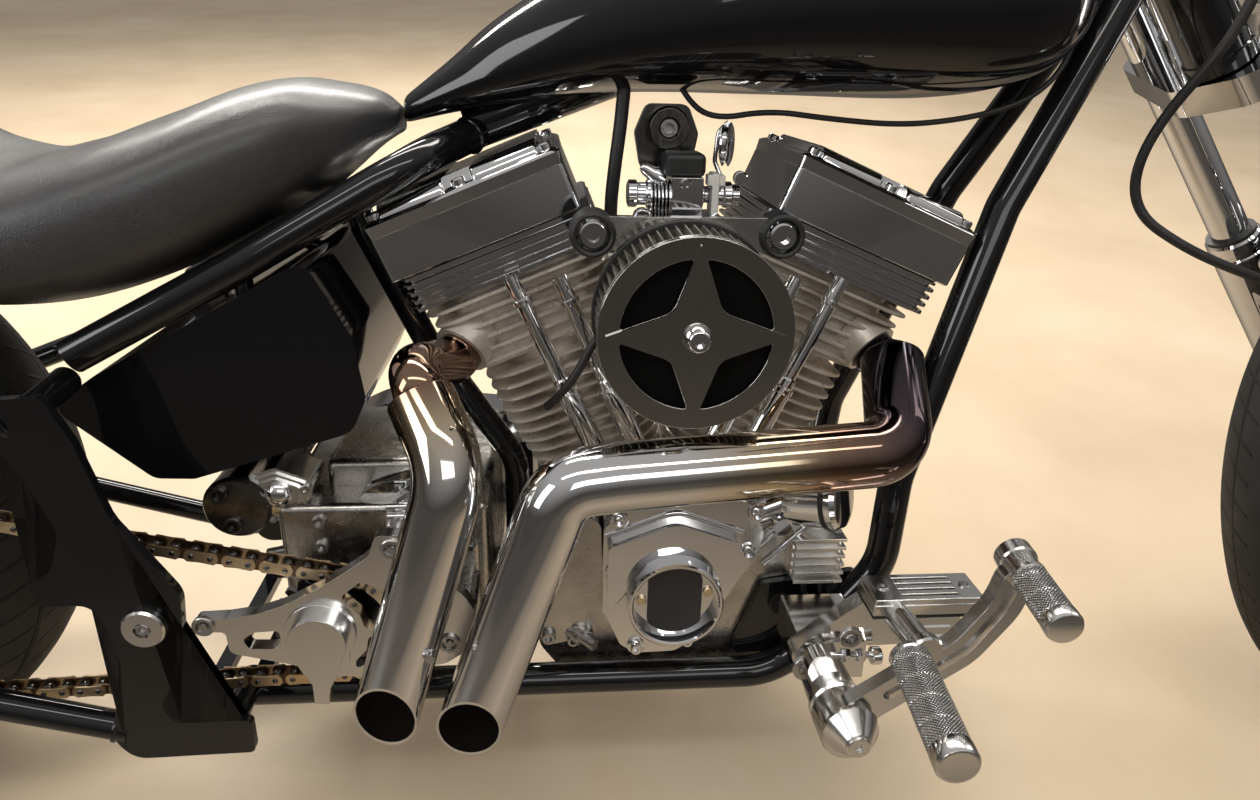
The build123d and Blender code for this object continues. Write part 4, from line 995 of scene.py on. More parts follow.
def chain_pins():
    """Places (x, z) of the chain's pins, along both runs and round both sprockets."""
    r1, r2 = pitch_radius(REAR_TEETH), pitch_radius(FRONT_TEETH)
    span = DRIVE - REAR_AXLE
    dist = math.hypot(span.x, span.z)
    base = math.atan2(span.z, span.x)
    tilt = math.acos((r1 - r2) / dist)
    run = math.sqrt(dist ** 2 - (r1 - r2) ** 2)
    wrap1, wrap2 = r1 * (2 * math.pi - 2 * tilt), r2 * 2 * tilt
    total = 2 * run + wrap1 + wrap2
    links = int(round(total / PITCH / 2)) * 2
    pins = []
    for i in range(links):
        s = i * total / links
        if s < run:
            a, k = base + tilt, s / run
            p = (REAR_AXLE.x + r1 * math.cos(a), REAR_AXLE.z + r1 * math.sin(a))
            q = (DRIVE.x + r2 * math.cos(a), DRIVE.z + r2 * math.sin(a))
            pins.append((p[0] + (q[0] - p[0]) * k, p[1] + (q[1] - p[1]) * k))
        elif s < run + wrap2:
            a = base + tilt - (s - run) / r2
            pins.append((DRIVE.x + r2 * math.cos(a), DRIVE.z + r2 * math.sin(a)))
        elif s < 2 * run + wrap2:
            a, k = base - tilt, (s - run - wrap2) / run
            p = (DRIVE.x + r2 * math.cos(a), DRIVE.z + r2 * math.sin(a))
            q = (REAR_AXLE.x + r1 * math.cos(a), REAR_AXLE.z + r1 * math.sin(a))
            pins.append((p[0] + (q[0] - p[0]) * k, p[1] + (q[1] - p[1]) * k))
        else:
            a = base - tilt - (s - 2 * run - wrap2) / r1
            pins.append((REAR_AXLE.x + r1 * math.cos(a), REAR_AXLE.z + r1 * math.sin(a)))
    return pins


def link_outline(p, q, end_r, waist):
    """Waisted chain plate around two pins, as (x, z) points."""
    d = Vector((q[0] - p[0], q[1] - p[1]))
    length = d.length
    d.normalize()
    n = Vector((-d.y, d.x))
    pts = []
    for centre, first in ((q, -60), (p, 120)):
        for k in range(7):
            a = math.radians(first + 120 * k / 6)
            pts.append(Vector(centre) + (d * math.cos(a) + n * math.sin(a)) * end_r)
        mid = Vector(((p[0] + q[0]) / 2, (p[1] + q[1]) / 2))
        side = 1 if first == -60 else -1
        pts.append(mid + n * waist * side + d * side * length * 0.08)
        pts.append(mid + n * waist * side - d * side * length * 0.08)
    return [tuple(v) for v in pts]


pins = chain_pins()
plates, inners, rollers = bmesh.new(), bmesh.new(), bmesh.new()
for i, p in enumerate(pins):
    q = pins[(i + 1) % len(pins)]
    outline = link_outline(p, q, 6.5, 4.9)
    if i % 2:
        for y0, y1 in ((-7.2, -8.9), (7.2, 8.9)):
            prism(plates, outline, CHAIN_Y + y0, CHAIN_Y + y1)
    else:
        for y0, y1 in ((-5.2, -6.9), (5.2, 6.9)):
            prism(inners, outline, CHAIN_Y + y0, CHAIN_Y + y1)
    lathe(rollers, (p[0], CHAIN_Y + 5.1, p[1]), (p[0], CHAIN_Y - 5.1, p[1]), [(0, 5.0), (10.2, 5.0)], 12)
    lathe(rollers, (p[0], CHAIN_Y + 10, p[1]), (p[0], CHAIN_Y - 10, p[1]), collar(20, 2.6, 0.6, 0.6), 10)
piece("chain_outer_plates", plates, GOLD, replaces=("drive_chain",), clean=False)
piece("chain_inner_plates", inners, OLD_BRASS, clean=False)
piece("chain_rollers", rollers, DARK_METAL, clean=False)

# Frame: round tubes with weld beads, bevelled side plates

CROSS_BARS = (472, 514)
BEAD_HALF, BEAD_RISE = 2.5, 2.6


def bead(bm, centre, direction, radius):
    """Ring of weld metal round a tube."""
    d = Vector(direction).normalized()
    at = Vector(centre)
    rows = []
    for i in range(7):
        k = math.pi * i / 6
        rows.append((BEAD_HALF - BEAD_HALF * math.cos(k), radius - 0.4 + BEAD_RISE * math.sin(k)))
    lathe(bm, at - d * BEAD_HALF, at + d * BEAD_HALF, rows, 40)


def along(s, f=0.0, y=0.0):
    """Point s up the steering axis from the neck's foot and f ahead of it."""
    p = NECK_LOW + UP * s + FWD * f
    return Vector((p.x, y, p.z))


NECK_LEN, RAIL_Y, RAIL_Z, TUBE_R, PLATE_Y, STAY_Y = 165.0, 115.0, 165.0, 16.0, 188.0, 186.0
bm = bmesh.new()
lathe(bm, along(0), along(NECK_LEN), [(0, 27), (1, 30.5), (15, 31), (16.5, 29), (NECK_LEN - 16.5, 29),
                                      (NECK_LEN - 15, 31), (NECK_LEN - 1, 30.5), (NECK_LEN, 27)], 56)
sweep(bm, bent([along(112), (1010, 0, 800), (742, 0, 698)], 300, 8.0), 22, 40)
bead(bm, along(112) - Vector((26, 0, 6)), (-1, 0, -0.25), 22)
for s in (-1, 1):
    sweep(bm, bent([(750, s * 12, 694), (692, s * 80, 668), (560, s * 112, 592), (425, s * 134, 520)], 90,
                   5.0), TUBE_R - 1, 36)
    sweep(bm, [(626, s * 96, 631), (631, 0, 634)], 11, 24)
    bead(bm, (744, s * 18, 691), (-0.6, s * 0.7, -0.25), TUBE_R - 1)
sweep(bm, bent([(630, 0, 642), (640, 0, 606), (692, 0, 492), (779, 0, 360), (779, 0, RAIL_Z)], 60, 4.0), 13,
      32)
sweep(bm, [(779, -RAIL_Y, RAIL_Z), (779, RAIL_Y, RAIL_Z)], 12, 24)
piece("frame_tubes_upper", bm, FRAME_BLACK, replaces=("frame_upper",))

bm = bmesh.new()
for s in (-1, 1):
    y = s * RAIL_Y
    sweep(bm, bent([(1352, s * 24, 862), (1236, s * 62, 640), (1152, s * 108, 385), (1146, y, 290),
                    (1050, y, RAIL_Z), (470, y, RAIL_Z)], 75, 4.0), TUBE_R, 40)
    bead(bm, (1348, s * 25, 855), (-0.45, 0.08 * s, -0.9), TUBE_R)
    bead(bm, (474, y, RAIL_Z), (-1, 0, 0), TUBE_R)
for x in CROSS_BARS:
    block(bm, x, x + 16, -RAIL_Y, RAIL_Y, RAIL_Z - 5, RAIL_Z + 5)
piece("frame_tubes_lower", bm, FRAME_BLACK, replaces=("frame_cradle",))
mount = [(1030, 262), (1128, 276), (1136, 250), (1076, 178), (1000, 178)]
bm = bmesh.new()
for y0, y1 in ((-101, -93), (93, 101)):
    prism(bm, filleted(mount, 8), y0, y1)
piece("motor_mount_plates", bm, FRAME_BLACK, bevel=1.2)
bm = bmesh.new()
lathe(bm, (1086, -98, 200), (1086, 98, 200), [(0, 10), (196, 10)], 32)
for y in (-101, 101):
    out = Vector((0, 1 if y > 0 else -1, 0))
    for x, z in ((1052, 238), (1086, 200), (1104, 254)):
        lathe(bm, Vector((x, y, z)), Vector((x, y, z)) + out * 2, [(0, 13), (1.6, 13), (2, 12.4)], 32)
        lathe(bm, Vector((x, y, z)) + out * 1.8, Vector((x, y, z)) + out * 9.5,
              [(0, 10.5), (5.6, 10.5), (7.7, 9.0)], 6)
piece("motor_mount_bolts", bm, SOFT_BLACK)

# Side stand and its lugs under the left rail
PIVOT = Vector((1032.0, 150.0, 146.0))
GROUND = SHIFT[2]
pivot_row = PARK @ PIVOT
foot_x, foot_y = pivot_row.x + 92, pivot_row.y + 158
UPRIGHT = PARK.inverted()
FOOT = UPRIGHT @ Vector((foot_x, foot_y, GROUND + 7.0))
down_leg = (FOOT - PIVOT).normalized()
STAND_AXIS = down_leg.cross(Vector((-1, 0.12, -0.06)).normalized()).normalized()
bm = bmesh.new()
lathe(bm, PIVOT - STAND_AXIS * 25, PIVOT + STAND_AXIS * 25, collar(50, 8, 1, 1), 32)
for sgn in (-1, 1):
    c = PIVOT + STAND_AXIS * (17.5 * sgn)
    lathe(bm, c - STAND_AXIS * 4.5, c + STAND_AXIS * 4.5, collar(9, 15, 1, 1), 40)
    sweep(bm, [c, Vector((PIVOT.x, RAIL_Y + 4, RAIL_Z + 2 + 13 * sgn))], 4, 20)
piece("stand_lugs", bm, FRAME_BLACK)
bm = bmesh.new()
lathe(bm, PIVOT - STAND_AXIS * 9, PIVOT + STAND_AXIS * 9, collar(18, 17, 1.5, 1.5), 48)
shank = (FOOT - PIVOT).length
lathe(bm, PIVOT + down_leg * 13, FOOT, [(0, 12), (14, 11), (shank * 0.5, 10), (shank - 13, 9)], 40)
pad_low, pad_high = (UPRIGHT @ Vector((foot_x, foot_y, GROUND + dz)) for dz in (0.0, 9.0))
lathe(bm, pad_low, pad_high, [(0, 28), (1, 29.6), (5, 29.6), (7, 27), (9, 12)], 56)
piece("stand_leg", bm, CHROME, "side_stand", replaces=("side_stand",))

SIDE_PLATE = [(383, 505), (430, 508), (446, 470), (462, 402), (505, 330), (498, 262), (470, 214),
              (480, 196), (545, 196), (545, 160), (440, 158), (424, 180), (446, 262), (436, 322),
              (392, 322), (386, 342), (408, 356), (420, 392), (404, 440), (388, 470)]
SIDE_PLATE_R = [6, 7, 24, 26, 26, 30, 14, 10, 5, 5, 22, 24, 34, 20, 6, 6, 14, 26, 26, 10]


def side_frame(label, s):
    """Side plate, stays, axle lug, boss and axle nut of one side."""
    plate("side_plate_" + label, FRAME_BLACK, filleted(SIDE_PLATE, SIDE_PLATE_R, 2.0), s * PLATE_Y,
          s * (PLATE_Y + 9), bevel=1.8, replaces=("rear_frame_" + label,))
    bm = bmesh.new()
    sweep(bm, [(400, s * STAY_Y, 486), (38, s * STAY_Y, 344)], TUBE_R - 3, 32)
    sweep(bm, [(436, s * STAY_Y, 184), (20, s * STAY_Y, 308)], TUBE_R - 3, 32)
    bead(bm, (396, s * STAY_Y, 484.5), (-1, 0, -0.39), TUBE_R - 3)
    bead(bm, (60, s * STAY_Y, 352.6), (-1, 0, -0.39), TUBE_R - 3)
    bead(bm, (426, s * STAY_Y, 187), (-1, 0, 0.3), TUBE_R - 3)
    bead(bm, (52, s * STAY_Y, 298), (-1, 0, 0.3), TUBE_R - 3)
    sweep(bm, [(520, s * 110, 178), (520, s * 192, 178)], 12, 28)
    sweep(bm, [(418, s * 136, 500), (418, s * 192, 496)], 12, 28)
    piece("rear_stays_" + label, bm, FRAME_BLACK)
    bm = bmesh.new()
    lug = [(-34, 300), (34, 296), (60, 334), (40, 352), (-34, 352)]
    prism(bm, filleted(lug, 10), s * 178, s * 190)
    piece("axle_lug_" + label, bm, FRAME_BLACK, bevel=1.5)
    bm = bmesh.new()
    at = Vector((472, s * (PLATE_Y + 8.6), 300))
    lathe(bm, at, at + Vector((0, s, 0)), cupped(18, 5.6, 7.4, 16.4, 7.2, 3.0), 64)
    piece("plate_boss_" + label, bm, ALLOY)
    turned("plate_screw_" + label, STEEL, at + Vector((0, s * 3.0, 0)), at + Vector((0, s * 9, 0)),
           cupped(6.6, 3.0, 4.0, 5.8, 3.4, 1.0), 6)
    bm = bmesh.new()
    end = Vector((0, s * 190.4, REAR_AXLE.z))
    out = Vector((0, s, 0))
    lathe(bm, end, end + out, [(0, 26), (2.4, 26), (3.2, 25)], 48)
    lathe(bm, end + out * 3.2, end + out * 9, cupped(21, 5, 7.4, 18.6, 10.5, -6), 6)
    piece("axle_nut_" + label, bm, CHROME, replaces=("rear_axle",) if s < 0 else (), clean=False)


for label, s in SIDES:
    side_frame(label, s)
turned("axle_bar", STEEL, (0, -189, REAR_AXLE.z), (0, 189, REAR_AXLE.z), [(0, 11.9), (378, 11.9)], 32)

# Crankcase, cam cover and ignition housing
CASE = [(802, 190), (830, 150), (900, 126), (990, 128), (1048, 168), (1070, 240), (1058, 310), (1022, 368),
        (960, 390), (900, 390), (838, 368), (800, 310)]
bm = bmesh.new()
case_round = filleted(CASE, 22, 3.0)
for y0, y1 in ((-91.6, -2), (2, 91.6)):
    prism(bm, case_round, y0, y1)
piece("crankcase_halves", bm, CASE_ALLOY, bevel=3.0, replaces=("crankcase",))
bm = bmesh.new()
flange = [(CRANK.x + (x - CRANK.x) * 1.02, 250 + (z - 250) * 1.02) for x, z in case_round]
prism(bm, flange, -3.4, 3.4)
piece("crankcase_seam", bm, ALLOY, bevel=1.0)

# Cylinder seats on the case
bm = bmesh.new()
for _, sign in CYLINDERS:
    stack(bm, on_cylinder(sign), [(96, -66, 66, 66, 40), (136, -64, 64, 64, 40), (145.4, -62, 62, 62, 40)], 8)
piece("cylinder_seats", bm, ALLOY)

# Satin chest behind the cam cover, with its small screws and a fitting
CHEST = [(800, 352), (862, 356), (866, 262), (850, 224), (812, 214), (800, 232)]
plate("cam_chest_side", CASE_ALLOY, filleted(CHEST, 12), -90, -127, bevel=3.0)
bm = bmesh.new()
for x, z, r in ((812, 226, 7.0), (836, 222, 6.0), (808, 346, 6.5), (851, 230, 5.0)):
    socket_bolt(bm, (x, -126, z), TO_RIGHT, r, 8)
piece("chest_bolts", bm, STEEL)
turned("chest_fitting", STEEL, (832, -120, 229), (858, -144, 224),
       [(0, 8), (10, 8), (11, 9.5), (18, 9.5), (19, 6), (34, 6)], 24)

CAM_BASE = [(864, 262), (864, 352), (884, 372), (930, 380), (1000, 378), (1016, 346), (1012, 318), (994, 292),
            (979, 262), (955, 226), (936, 213), (898, 212), (882, 222), (872, 246)]
plate("cam_cover_base", ALLOY, filleted(CAM_BASE, [5, 14, 20, 30, 12, 14, 16, 12, 12, 12, 12, 12, 10, 12]),
      -92, -140, bevel=2.0, replaces=("cam_cover",))

# Hooded upper part, with a round ridge along its roof
HOOD = [(868, 268), (868, 338), (931, 362), (992, 340), (992, 300), (978, 284), (958, 316), (932, 330),
        (902, 316), (884, 284)]
plate("cam_hood", CHROME, filleted(HOOD, [4, 7, 26, 8, 6, 4, 26, 26, 26, 6], 2.0), -139, -152, bevel=2.6)
bm = bmesh.new()
ridge = [(866, -138.5, 344), (931, -140, 370), (996, -138.5, 346)]
sweep(bm, bent([Vector(p) for p in ridge], 30, 2.0), 3.4, 20)
piece("cam_ridge", bm, CHROME)
BOSS = Vector((931.0, 0.0, 284.0))
turned("cam_boss", CHROME, (BOSS.x, -138, BOSS.z), (BOSS.x, -169, BOSS.z),
       [(0, 49), (4, 48), (10, 46), (24, 45.5), (29.4, 45), (31, 43.6), (31, 41.4), (29.4, 40.2),
        (17.5, 39.8), (17.5, TINY)], 96)

# Plain black ignition plate with its two holding screws
bm = bmesh.new()
face = [(BOSS.x + max(-25.5, min(25.5, 34.5 * math.cos(k))), BOSS.z + 34.5 * math.sin(k))
        for k in spaced(64)]
prism(bm, face, -155.6, -158.6)
piece("ignition_plate", bm, PLASTIC, bevel=0.6)
bm = bmesh.new()
for x in (-31.5, 31.5):
    at = Vector((BOSS.x + x, -155.4, BOSS.z + (0 if x < 0 else 8)))
    lathe(bm, at, at + TO_RIGHT, [(0, 4.6), (2.4, 4.6), (3.2, 3.8), (3.2, TINY)], 24)
piece("ignition_screws", bm, GOLD)
bm = bmesh.new()
for x, z in ((874.8, 306.6), (897.2, 221), (947.4, 228), (1002, 325), (1007, 366), (878, 362)):
    at = Vector((x, -140, z))
    lathe(bm, at, at + TO_RIGHT, [(0, 8.6), (2.2, 8.6), (3, 7.8)], 36)
    socket_bolt(bm, at + Vector((0, -2.4, 0)), TO_RIGHT, 5.4, 6.5)
piece("cam_bolts", bm, CHROME)

# Fluted band between the hood and the case, seen under the pipe
bm = bmesh.new()
for i in range(9):
    x = 884 + i * 12
    block(bm, x, x + 6, -137, -126, 380 - abs(i - 4) * 1.2, 388 - abs(i - 4) * 1.0)
piece("cam_flutes", bm, ALLOY, bevel=0.8)

# Braces, filter and regulator ahead of the case
bm = bmesh.new()
sweep(bm, [(1000, -112, 300), (1080, -112, 376)], 6.2, 24)
sweep(bm, [(1024, -116, 296), (1090, -116, 362)], 3.4, 20)
for x, z in ((1000, 300), (1080, 376), (1040, 338)):
    lathe(bm, (x, -120, z), (x, -104, z), collar(16, 9.5, 1, 1), 32)
piece("case_braces", bm, CHROME)
bm = bmesh.new()
a, b = Vector((1052, -98, 362)), Vector((1096, -132, 374))
lathe(bm, a, b, [(0, 24), (3, 29.2), (40, 29.6), (43, 30), (50, 30), (54, 27), (56, 20), (56, TINY)], 64)
sweep(bm, [(1000, -100, 340), (1056, -101, 363)], 15, 32)
piece("filter_can", bm, CHROME, replaces=("oil_filter",))
turned("filter_seal", SOFT_BLACK, a + (b - a).normalized() * 39, b, [(0, 30.4), (2.4, 30.8), (4.8, 30.4)], 64)
bm = bmesh.new()
block(bm, 1054, 1104, -113, -92.3, 278, 328)
for i in range(6):
    z = 278 + i * 9.3
    prism(bm, [(1054, z), (1104, z), (1104, z + 3.4), (1054, z + 3.4)], -127, -112.5)
piece("regulator_body", bm, ALLOY, bevel=0.7, replaces=("regulator",))

# Sprocket cover, gearbox, starter
SWOOP = [(507, 287), (507, 299), (536, 300), (562, 304), (583, 311), (616, 328), (652, 352), (660, 359),
         (667, 378), (692, 378), (692, 352), (708, 332), (736, 322), (750, 296), (744, 262), (716, 243),
         (690, 247), (656, 245), (651, 231), (633, 236), (622, 234), (585, 250), (534, 264), (533, 286)]
SWOOP_R = [5, 5, 3, 40, 60, 90, 20, 8, 5, 6, 20, 26, 26, 26, 26, 26, 20, 8, 5, 8, 12, 30, 8, 4]
SLOT = [(546, 278), (557, 285), (578, 286), (579, 272), (571, 267), (551, 268)]
GAP_UP = [(632, 318), (652, 334), (678, 318), (690, 300), (684, 287), (666, 284), (652, 285), (648, 300)]
GAP_LOW = [(684, 278), (654, 277), (651, 263), (641, 252), (640, 243), (656, 252), (682, 254)]
single("sprocket_guard", ALLOY, sheet, filleted(SWOOP, SWOOP_R, 2.0),
       [filleted(SLOT, 4, 1.5), filleted(GAP_UP, 6, 1.5), filleted(GAP_LOW, 4, 1.5)], -176, -190, bevel=1.6,
       replaces=("sprocket_cover",))

# Round cup of the shaft end, which runs down into a drip lip
CUP = arc(613, 282, 25, -35, 250, 27) + [(598, 256), (606, 240), (606, 220), (618, 219), (621, 236),
                                         (630, 254)]
CUP_RING = arc(613, 282, 31, -40, 260, 27) + [(592, 250), (600, 240), (627, 240), (636, 254)]
plate("guard_step", ALLOY, CUP_RING, -188, -193, bevel=1.8)
plate("guard_cup", ALLOY, CUP, -189, -207, bevel=3.4)
bm = bmesh.new()
for x, z in ((516, 293.5), (724, 268), (680, 366)):
    lathe(bm, (x, -188, z), (x, -193, z), cupped(9.5, 3.8, 4.6, 8.6, 6.4, 2.0), 36)
    hex_prism(bm, (x, -191, z), (x, -193.2, z), 3.6)
piece("guard_bolts", bm, STEEL)
bm = bmesh.new()
sweep(bm, [(676, -111, 350), (676, -177, 350)], 9.5, 28)
sweep(bm, [(738, -111, 290), (738, -177, 290)], 9.5, 28)
sweep(bm, [(716, -170, 296), (716, -250, 296)], 4.0, 16)
piece("guard_spacers", bm, STEEL)

boxes("gearbox_case", CASE_ALLOY, (562, 756, -112, 92, 200, 366), (600, 716, -70, 80, 360, 392),
      (700, 748, -118, -100, 214, 330), bevel=7.0, replaces=("gearbox",))
bm = bmesh.new()
TOP_COVER = [(662, 318), (662, 362), (682, 376), (690, 396), (744, 396), (744, 318)]
prism(bm, filleted(TOP_COVER, 7), -104, -118)
TRAP = [(612, 330), (612, 360), (636, 366), (644, 380), (700, 388), (700, 330)]
prism(bm, filleted(TRAP, 5), -70, -96)
for z in (336, 346, 356):
    sweep(bm, [(612, -97, z), (700, -97, z)], 3.2, 20)
for z in (328, 338, 348, 358, 368):
    sweep(bm, [(664, -119, z), (742, -119, z)], 3.4, 20)
piece("gearbox_ribs", bm, CHROME, bevel=2.4)
bm = bmesh.new()
for x, z in ((600, 350), (600, 324), (652, 308), (680, 306), (570, 300), (570, 240), (748, 226)):
    socket_bolt(bm, (x, -110, z), TO_RIGHT, 6.5, 8)
sweep(bm, bent([(596, -100, 372), (596, -104, 340), (572, -106, 318), (548, -104, 312)], 16, 2.5), 5.5, 20)
piece("gearbox_bolts", bm, STEEL)
bm = bmesh.new()
lathe(bm, (DRIVE.x, -110, DRIVE.z), (DRIVE.x, -150, DRIVE.z),
      [(0, 30), (20, 30), (22, 27), (24, 20), (32, 18), (40, 18)], 48)
prism(bm, toothed(DRIVE, FRONT_TEETH, ((-0.32, -4.2), (-0.14, 3.6), (0.14, 3.6), (0.32, -4.2))), -152.5,
      -159.5)
piece("drive_sprocket", bm, DARK_METAL, bevel=0.5)

bm = bmesh.new()
lathe(bm, (528, 84, 366), (528, -114, 366),
      [(0, 26), (4, 30), (186, 30), (187, 29.2), (188, 30.6), (194, 30.6), (198, 28)], 64)
for x, z in ((515, 381), (524, 350)):
    lathe(bm, (x, -111, z), (x, -119, z), cupped(8.4, 6, 7.4, 7.4, 5.2, 3), 32)
piece("starter_motor", bm, DARK_METAL)
DIAMOND = [(532, 392), (563, 402), (597, 388), (593, 370), (557, 345), (541, 362)]
centre = Vector((566, 377))
bm = bmesh.new()
for shrink, y0, y1 in ((1.0, -60, -104), (0.84, -103, -107), (0.66, -106, -110)):
    rim = [tuple(centre + (Vector(p) - centre) * shrink) for p in DIAMOND]
    prism(bm, filleted(rim, 7 * shrink), y0, y1)
lathe(bm, (566, -109, 378), (566, -118, 378), [(0, 12), (4, 12), (7, 9.5), (9, 4), (9, TINY)], 40)
piece("solenoid_cover", bm, ALLOY, bevel=1.4)
bolts("solenoid_bolts", STEEL, [(x, -104, z) for x, z in ((541, 388), (589, 381), (557, 352))], TO_RIGHT,
      4.2, 5)

# Oil tank: folded box with wide soft edges, hung from two lugs
OIL = [(392, 470), (466, 402), (500, 401), (640, 444), (655, 476), (648, 532), (614, 598), (560, 568),
       (432, 498)]
plate("oil_box", TANK_BLACK, filleted(OIL, [12, 16, 16, 22, 14, 20, 14, 16, 14]), 118, -122, bevel=7.0,
      replaces=("oil_tank",))
bm = bmesh.new()
for s in (-1, 1):
    sweep(bm, [(560, s * 104, 550), (560, s * 110, 588)], 8, 24)
piece("oil_box_lugs", bm, FRAME_BLACK)

# Intake: manifold, carburettor body, its cap and linkage
bm = bmesh.new()
lathe(bm, (866, -20, 575), (986, -20, 575), [(0, 22), (10, 24), (12, 22), (108, 22), (110, 24), (120, 22)],
      40)
lathe(bm, (926, -20, 588), (926, -138, 588), [(0, 24), (40, 26), (117, 26)], 48)
piece("intake_manifold", bm, CASE_ALLOY, replaces=("carburettor",))
bm = bmesh.new()
block(bm, 917, 943, -122, -64, 560, 669)
block(bm, 893, 962, -112, -70, 612, 636)
lathe(bm, (881, -100, 653), (917, -100, 653),
      [(0, 8), (1.5, 11.5), (8, 11.5), (9, 9.5), (16, 9.5), (17, 12), (20, 12)], 40)
for i in range(6):
    x = 900 + i * 3.1
    lathe(bm, (x, -100, 650), (x + 2.2, -100, 650), collar(2.2, 15.4, 0.7, 1.4), 48)
lathe(bm, (943, -100, 653), (977, -100, 653),
      [(0, 10.5), (3, 10.5), (4, 7), (7, 7), (8, 9), (12, 9), (20, 9), (21, 11), (27, 11), (28, 8.5),
       (34, 8.5)], 40)
lathe(bm, (893, -112, 636), (893, -124, 636), cupped(7.6, 9, 10.6, 6.4, 3.8, 5), 28)
lathe(bm, (912, -98, 664), (892, -98, 676), [(0, 9), (9, 8), (12, 6), (18, 5.2), (22, 3)], 24)
piece("carb_body", bm, CHROME, bevel=1.6)
boxes("carb_cap", SOFT_BLACK, (911, 945, -120, -84, 669, 688), bevel=4.5)
boxes("carb_spacer", NYLON, (951, 957, -119, -96, 636, 672), (947, 962, -118, -104, 662, 671), bevel=1.2)
bm = bmesh.new()
socket_bolt(bm, (928, -122, 664), TO_RIGHT, 4.6, 4)
socket_bolt(bm, (970, -110, 630), TO_RIGHT, 6.2, 6)
sweep(bm, bent([(902, -112, 612), (934, -120, 622), (956, -118, 640)], 12, 2.0), 2.2, 12)
lathe(bm, (962, -92, 694), (972, -96, 694), [(0, 15), (1.5, 18), (3, 15.6), (5, 15.6), (6.5, 18), (8, 15)],
      44)
sweep(bm, bent([(966, -94, 712), (958, -94, 704), (956, -94, 680), (964, -98, 662)], 8, 2.0), 2.0, 12)
lathe(bm, (976, -106, 668), (976, -114, 668), [(0, 6), (6, 6), (7, 5)], 20)
piece("carb_linkage", bm, CHROME)

# Top motor mount between the heads: boss with a socket screw
bm = bmesh.new()
prism(bm, filleted([(896, 668), (940, 668), (946, 700), (936, 724), (900, 724), (890, 700)], 8), -52, -64)
lathe(bm, (918, -60, 705), (918, -82, 705), cupped(18, 18, 21, 16.4, 9, 12), 56)
piece("top_mount", bm, DARK_METAL, bevel=1.2)
single("top_mount_screw", STEEL, socket_bolt, (918, -70, 705), TO_RIGHT, 8.6, 9)


# Forward controls, one on each side


KNURL_PITCH = 2.8


def strip(points, half):
    """Outline of a bar of one width along a line of (x, z) points."""
    left, right = [], []
    for i, p in enumerate(points):
        q, m = points[min(i + 1, len(points) - 1)], points[max(i - 1, 0)]
        d = math.hypot(q[0] - m[0], q[1] - m[1])
        n = (-(q[1] - m[1]) / d * half, (q[0] - m[0]) / d * half)
        left.append((p[0] + n[0], p[1] + n[1]))
        right.append((p[0] - n[0], p[1] - n[1]))
    return left + right[::-1]


def knurled(name, a, b, radius, groove=22.0):
    """Knurled sleeve: its crossed ridges are in the finish, its helical grooves in the mesh."""
    a, b = Vector(a), Vector(b)
    run = (b - a).length
    d = (b - a).normalized()
    u, v = frame_of(d)
    bm = bmesh.new()
    across = bm.verts.layers.float.new("knurl_across")
    down = bm.verts.layers.float.new("knurl_down")
    around, rows = 72, int(run / 1.1)
    ridges = int(2 * math.pi * radius / KNURL_PITCH)
    last = None
    for i in range(rows + 1):
        t = run * i / rows
        row = []
        for j in range(around + 1):
            k = 2 * math.pi * j / around
            turn = (t / groove + j / around) % 1.0
            cut = 0.9 * max(0.0, 1.0 - abs(turn - 0.5) * groove / 1.3)
            r = radius - cut - (0.8 if i in (0, rows) else 0.0)
            vert = bm.verts.new(a + d * t + (u * math.cos(k) + v * math.sin(k)) * r)
            vert[across] = ridges * j / around
            vert[down] = t / KNURL_PITCH
            row.append(vert)
        if last:
            for j in range(around):
                bm.faces.new((last[j], last[j + 1], row[j + 1], row[j]))
        last = row
    piece(name, bm, KNURL, clean=False)


ARM = [(1058, 250), (1108, 286), (1150, 316), (1177, 356), (1186, 392)]
ARM_SLOT = [(1088, 273.5), (1108, 287), (1150, 317), (1174, 356), (1180, 374)]
BRACKET = [(1040, 236), (1050, 268), (1094, 290), (1100, 268), (1182, 270), (1186, 316), (1094, 316),
           (1072, 300), (1030, 262)]


